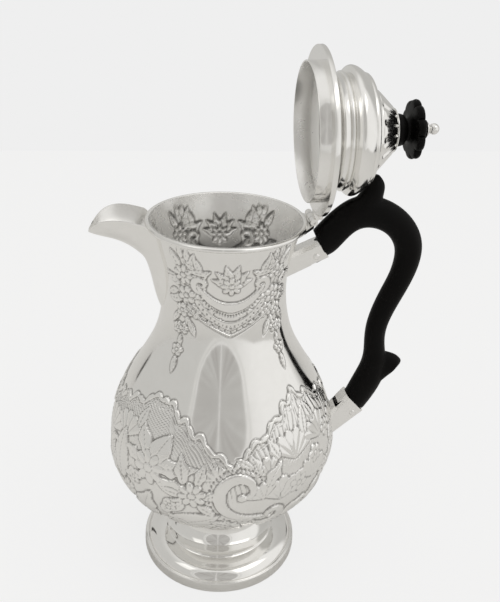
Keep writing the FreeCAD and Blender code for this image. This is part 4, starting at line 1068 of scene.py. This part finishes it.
def paint_world():
    """Tone = a plain tent level, mixed in turn towards each patch's tone by its mask. Two
    panels, high to the left and the right, are brighter than the cloth."""
    world = bpy.data.worlds.new("cloth_tent")
    bpy.context.scene.world = world
    world.use_nodes = True
    tree = world.node_tree
    tree.nodes.clear()
    sources, outwards = tent_sources(tree)
    patches = [
        ("#bdbcb9", [("turn", 98, 112)]),
        ("#efeeec", [("up", 38, 75)]),
        ("#bdbbb7", [("up", -12, -50)]),
        ("#d9d8d5", band("off", 1.08, 1.16, 0.02)),
        (folded_cloth(tree, outwards), band("off", -1.0, 1.0, 0.02)),
        ("#e6e5e3", band("off", 0.98, 1.03, 0.02)),
        ("#e0dfdd", band("side", -0.8, 0.8, 0.8) + band("off", -1.0, 0.98, 0.02)),
        ("#0c0b0a", band("slant", 113, 125, 1.0) + band("up", -46, 5, 3)),
        ("#3a3835", band("turn", -134, -130, 1.0) + band("up", -30, 30, 3)),
    ]
    tone = add(tree, "ShaderNodeMix", {"data_type": "RGBA", 6: linear("#c9c8c5"),
                                       7: linear("#f1f0ee")},
               {0: masked(tree, sources, [("turn", -30, 55)])}).outputs[2]
    for patch, borders in patches:
        plain = isinstance(patch, str)
        settings = {"data_type": "RGBA", **({7: linear(patch)} if plain else {})}
        links = {0: masked(tree, sources, borders), 6: tone, **({} if plain else {7: patch})}
        tone = add(tree, "ShaderNodeMix", settings, links).outputs[2]
    seen = add(tree, "ShaderNodeLightPath").outputs["Is Camera Ray"]
    tone = add(tree, "ShaderNodeMix", {"data_type": "RGBA", 7: linear("#efefef")},
               {0: seen, 6: tone}).outputs[2]
    right = masked(tree, sources, band("turn", 25, 80, 4) + band("up", 42, 66, 4))
    left = masked(tree, sources, band("turn", -78, -50, 4) + band("up", 36, 58, 4))
    both = add(tree, "ShaderNodeMath", {"operation": "MAXIMUM"}, {0: right, 1: left}).outputs[0]
    power = add(tree, "ShaderNodeMapRange", {"To Min": 1.0, "To Max": PANEL_STRENGTH},
                {"Value": both}).outputs["Result"]
    back = add(tree, "ShaderNodeBackground", {}, {"Color": tone, "Strength": power})
    add(tree, "ShaderNodeOutputWorld", links={"Surface": back.outputs["Background"]})


paint_world()

# %% [markdown]
# A pale sweep of card under the jug and one large soft lamp overhead. The camera looks down at
# about 27 degrees from the front and a little to the left, tipped by two degrees.

# %% Floor, lamps and camera
card, _ = put_mesh("floor_card", np.array([(-900, -900, 0), (900, -900, 0), (900, 900, 0),
                                           (-900, 900, 0)], float), np.array([[0, 1, 2, 3]]))
made, tree, place = finish_of("pale_card")
tooth = add(tree, "ShaderNodeTexNoise", {"Scale": 1 / (0.8 * MM)}, {"Vector": place})
press = add(tree, "ShaderNodeBump", {"Strength": 0.1, "Distance": 0.05 * MM},
            {"Height": tooth.outputs["Fac"]})
matt_card = add(tree, "ShaderNodeBsdfPrincipled", {"Base Color": linear("#d9d8d6"),
                "Roughness": 0.9}, {"Normal": press.outputs["Normal"]})
glow = add(tree, "ShaderNodeEmission", {"Color": linear("#f7f7f7"), "Strength": 1.0})
seen = add(tree, "ShaderNodeLightPath")
share = add(tree, "ShaderNodeMath", {"operation": "MULTIPLY", 1: 0.86},
            {0: seen.outputs["Is Camera Ray"]})
both = add(tree, "ShaderNodeMixShader", {}, {0: share.outputs[0], 1: matt_card.outputs["BSDF"],
                                             2: glow.outputs["Emission"]})
add(tree, "ShaderNodeOutputMaterial", links={"Surface": both.outputs["Shader"]})
card.data.materials.append(made)


def soft_lamp(name, size, watts, where, aim):
    """A square lamp at where (mm) that faces aim (mm)."""
    lamp = bpy.data.lights.new(name, "AREA")
    lamp.size, lamp.energy = size * MM, watts
    holder = bpy.data.objects.new(name, lamp)
    bpy.context.scene.collection.objects.link(holder)
    spot, goal = np.array(where, float) * MM, np.array(aim, float) * MM
    away = spot - goal
    turn = Matrix.Rotation(math.atan2(away[0], -away[1]), 4, "Z") @ Matrix.Rotation(
        math.atan2(math.hypot(away[0], away[1]), away[2]), 4, "X")
    holder.matrix_world = Matrix.Translation(spot) @ turn
    holder.visible_glossy = False
    return holder


soft_lamp("overhead_softbox", 700, 3.0, (0, -100, 1100), (0, 0, 100))
camera = bpy.data.cameras.new("camera")
camera.lens, camera.sensor_width = 43.74, 36
eye = bpy.data.objects.new("camera", camera)
bpy.context.scene.collection.objects.link(eye)
eye.matrix_world = (Matrix.Translation((-35.8 * MM, -352.5 * MM, 351.8 * MM))
                    @ Matrix.Rotation(math.radians(-8.055), 4, "Z")
                    @ Matrix.Rotation(math.radians(90 - 27.14), 4, "X")
                    @ Matrix.Rotation(math.radians(2.29), 4, "Z"))
camera.clip_start, camera.clip_end = 10 * MM, 10
bpy.context.scene.camera = eye
bpy.context.scene.view_settings.view_transform = "Standard"
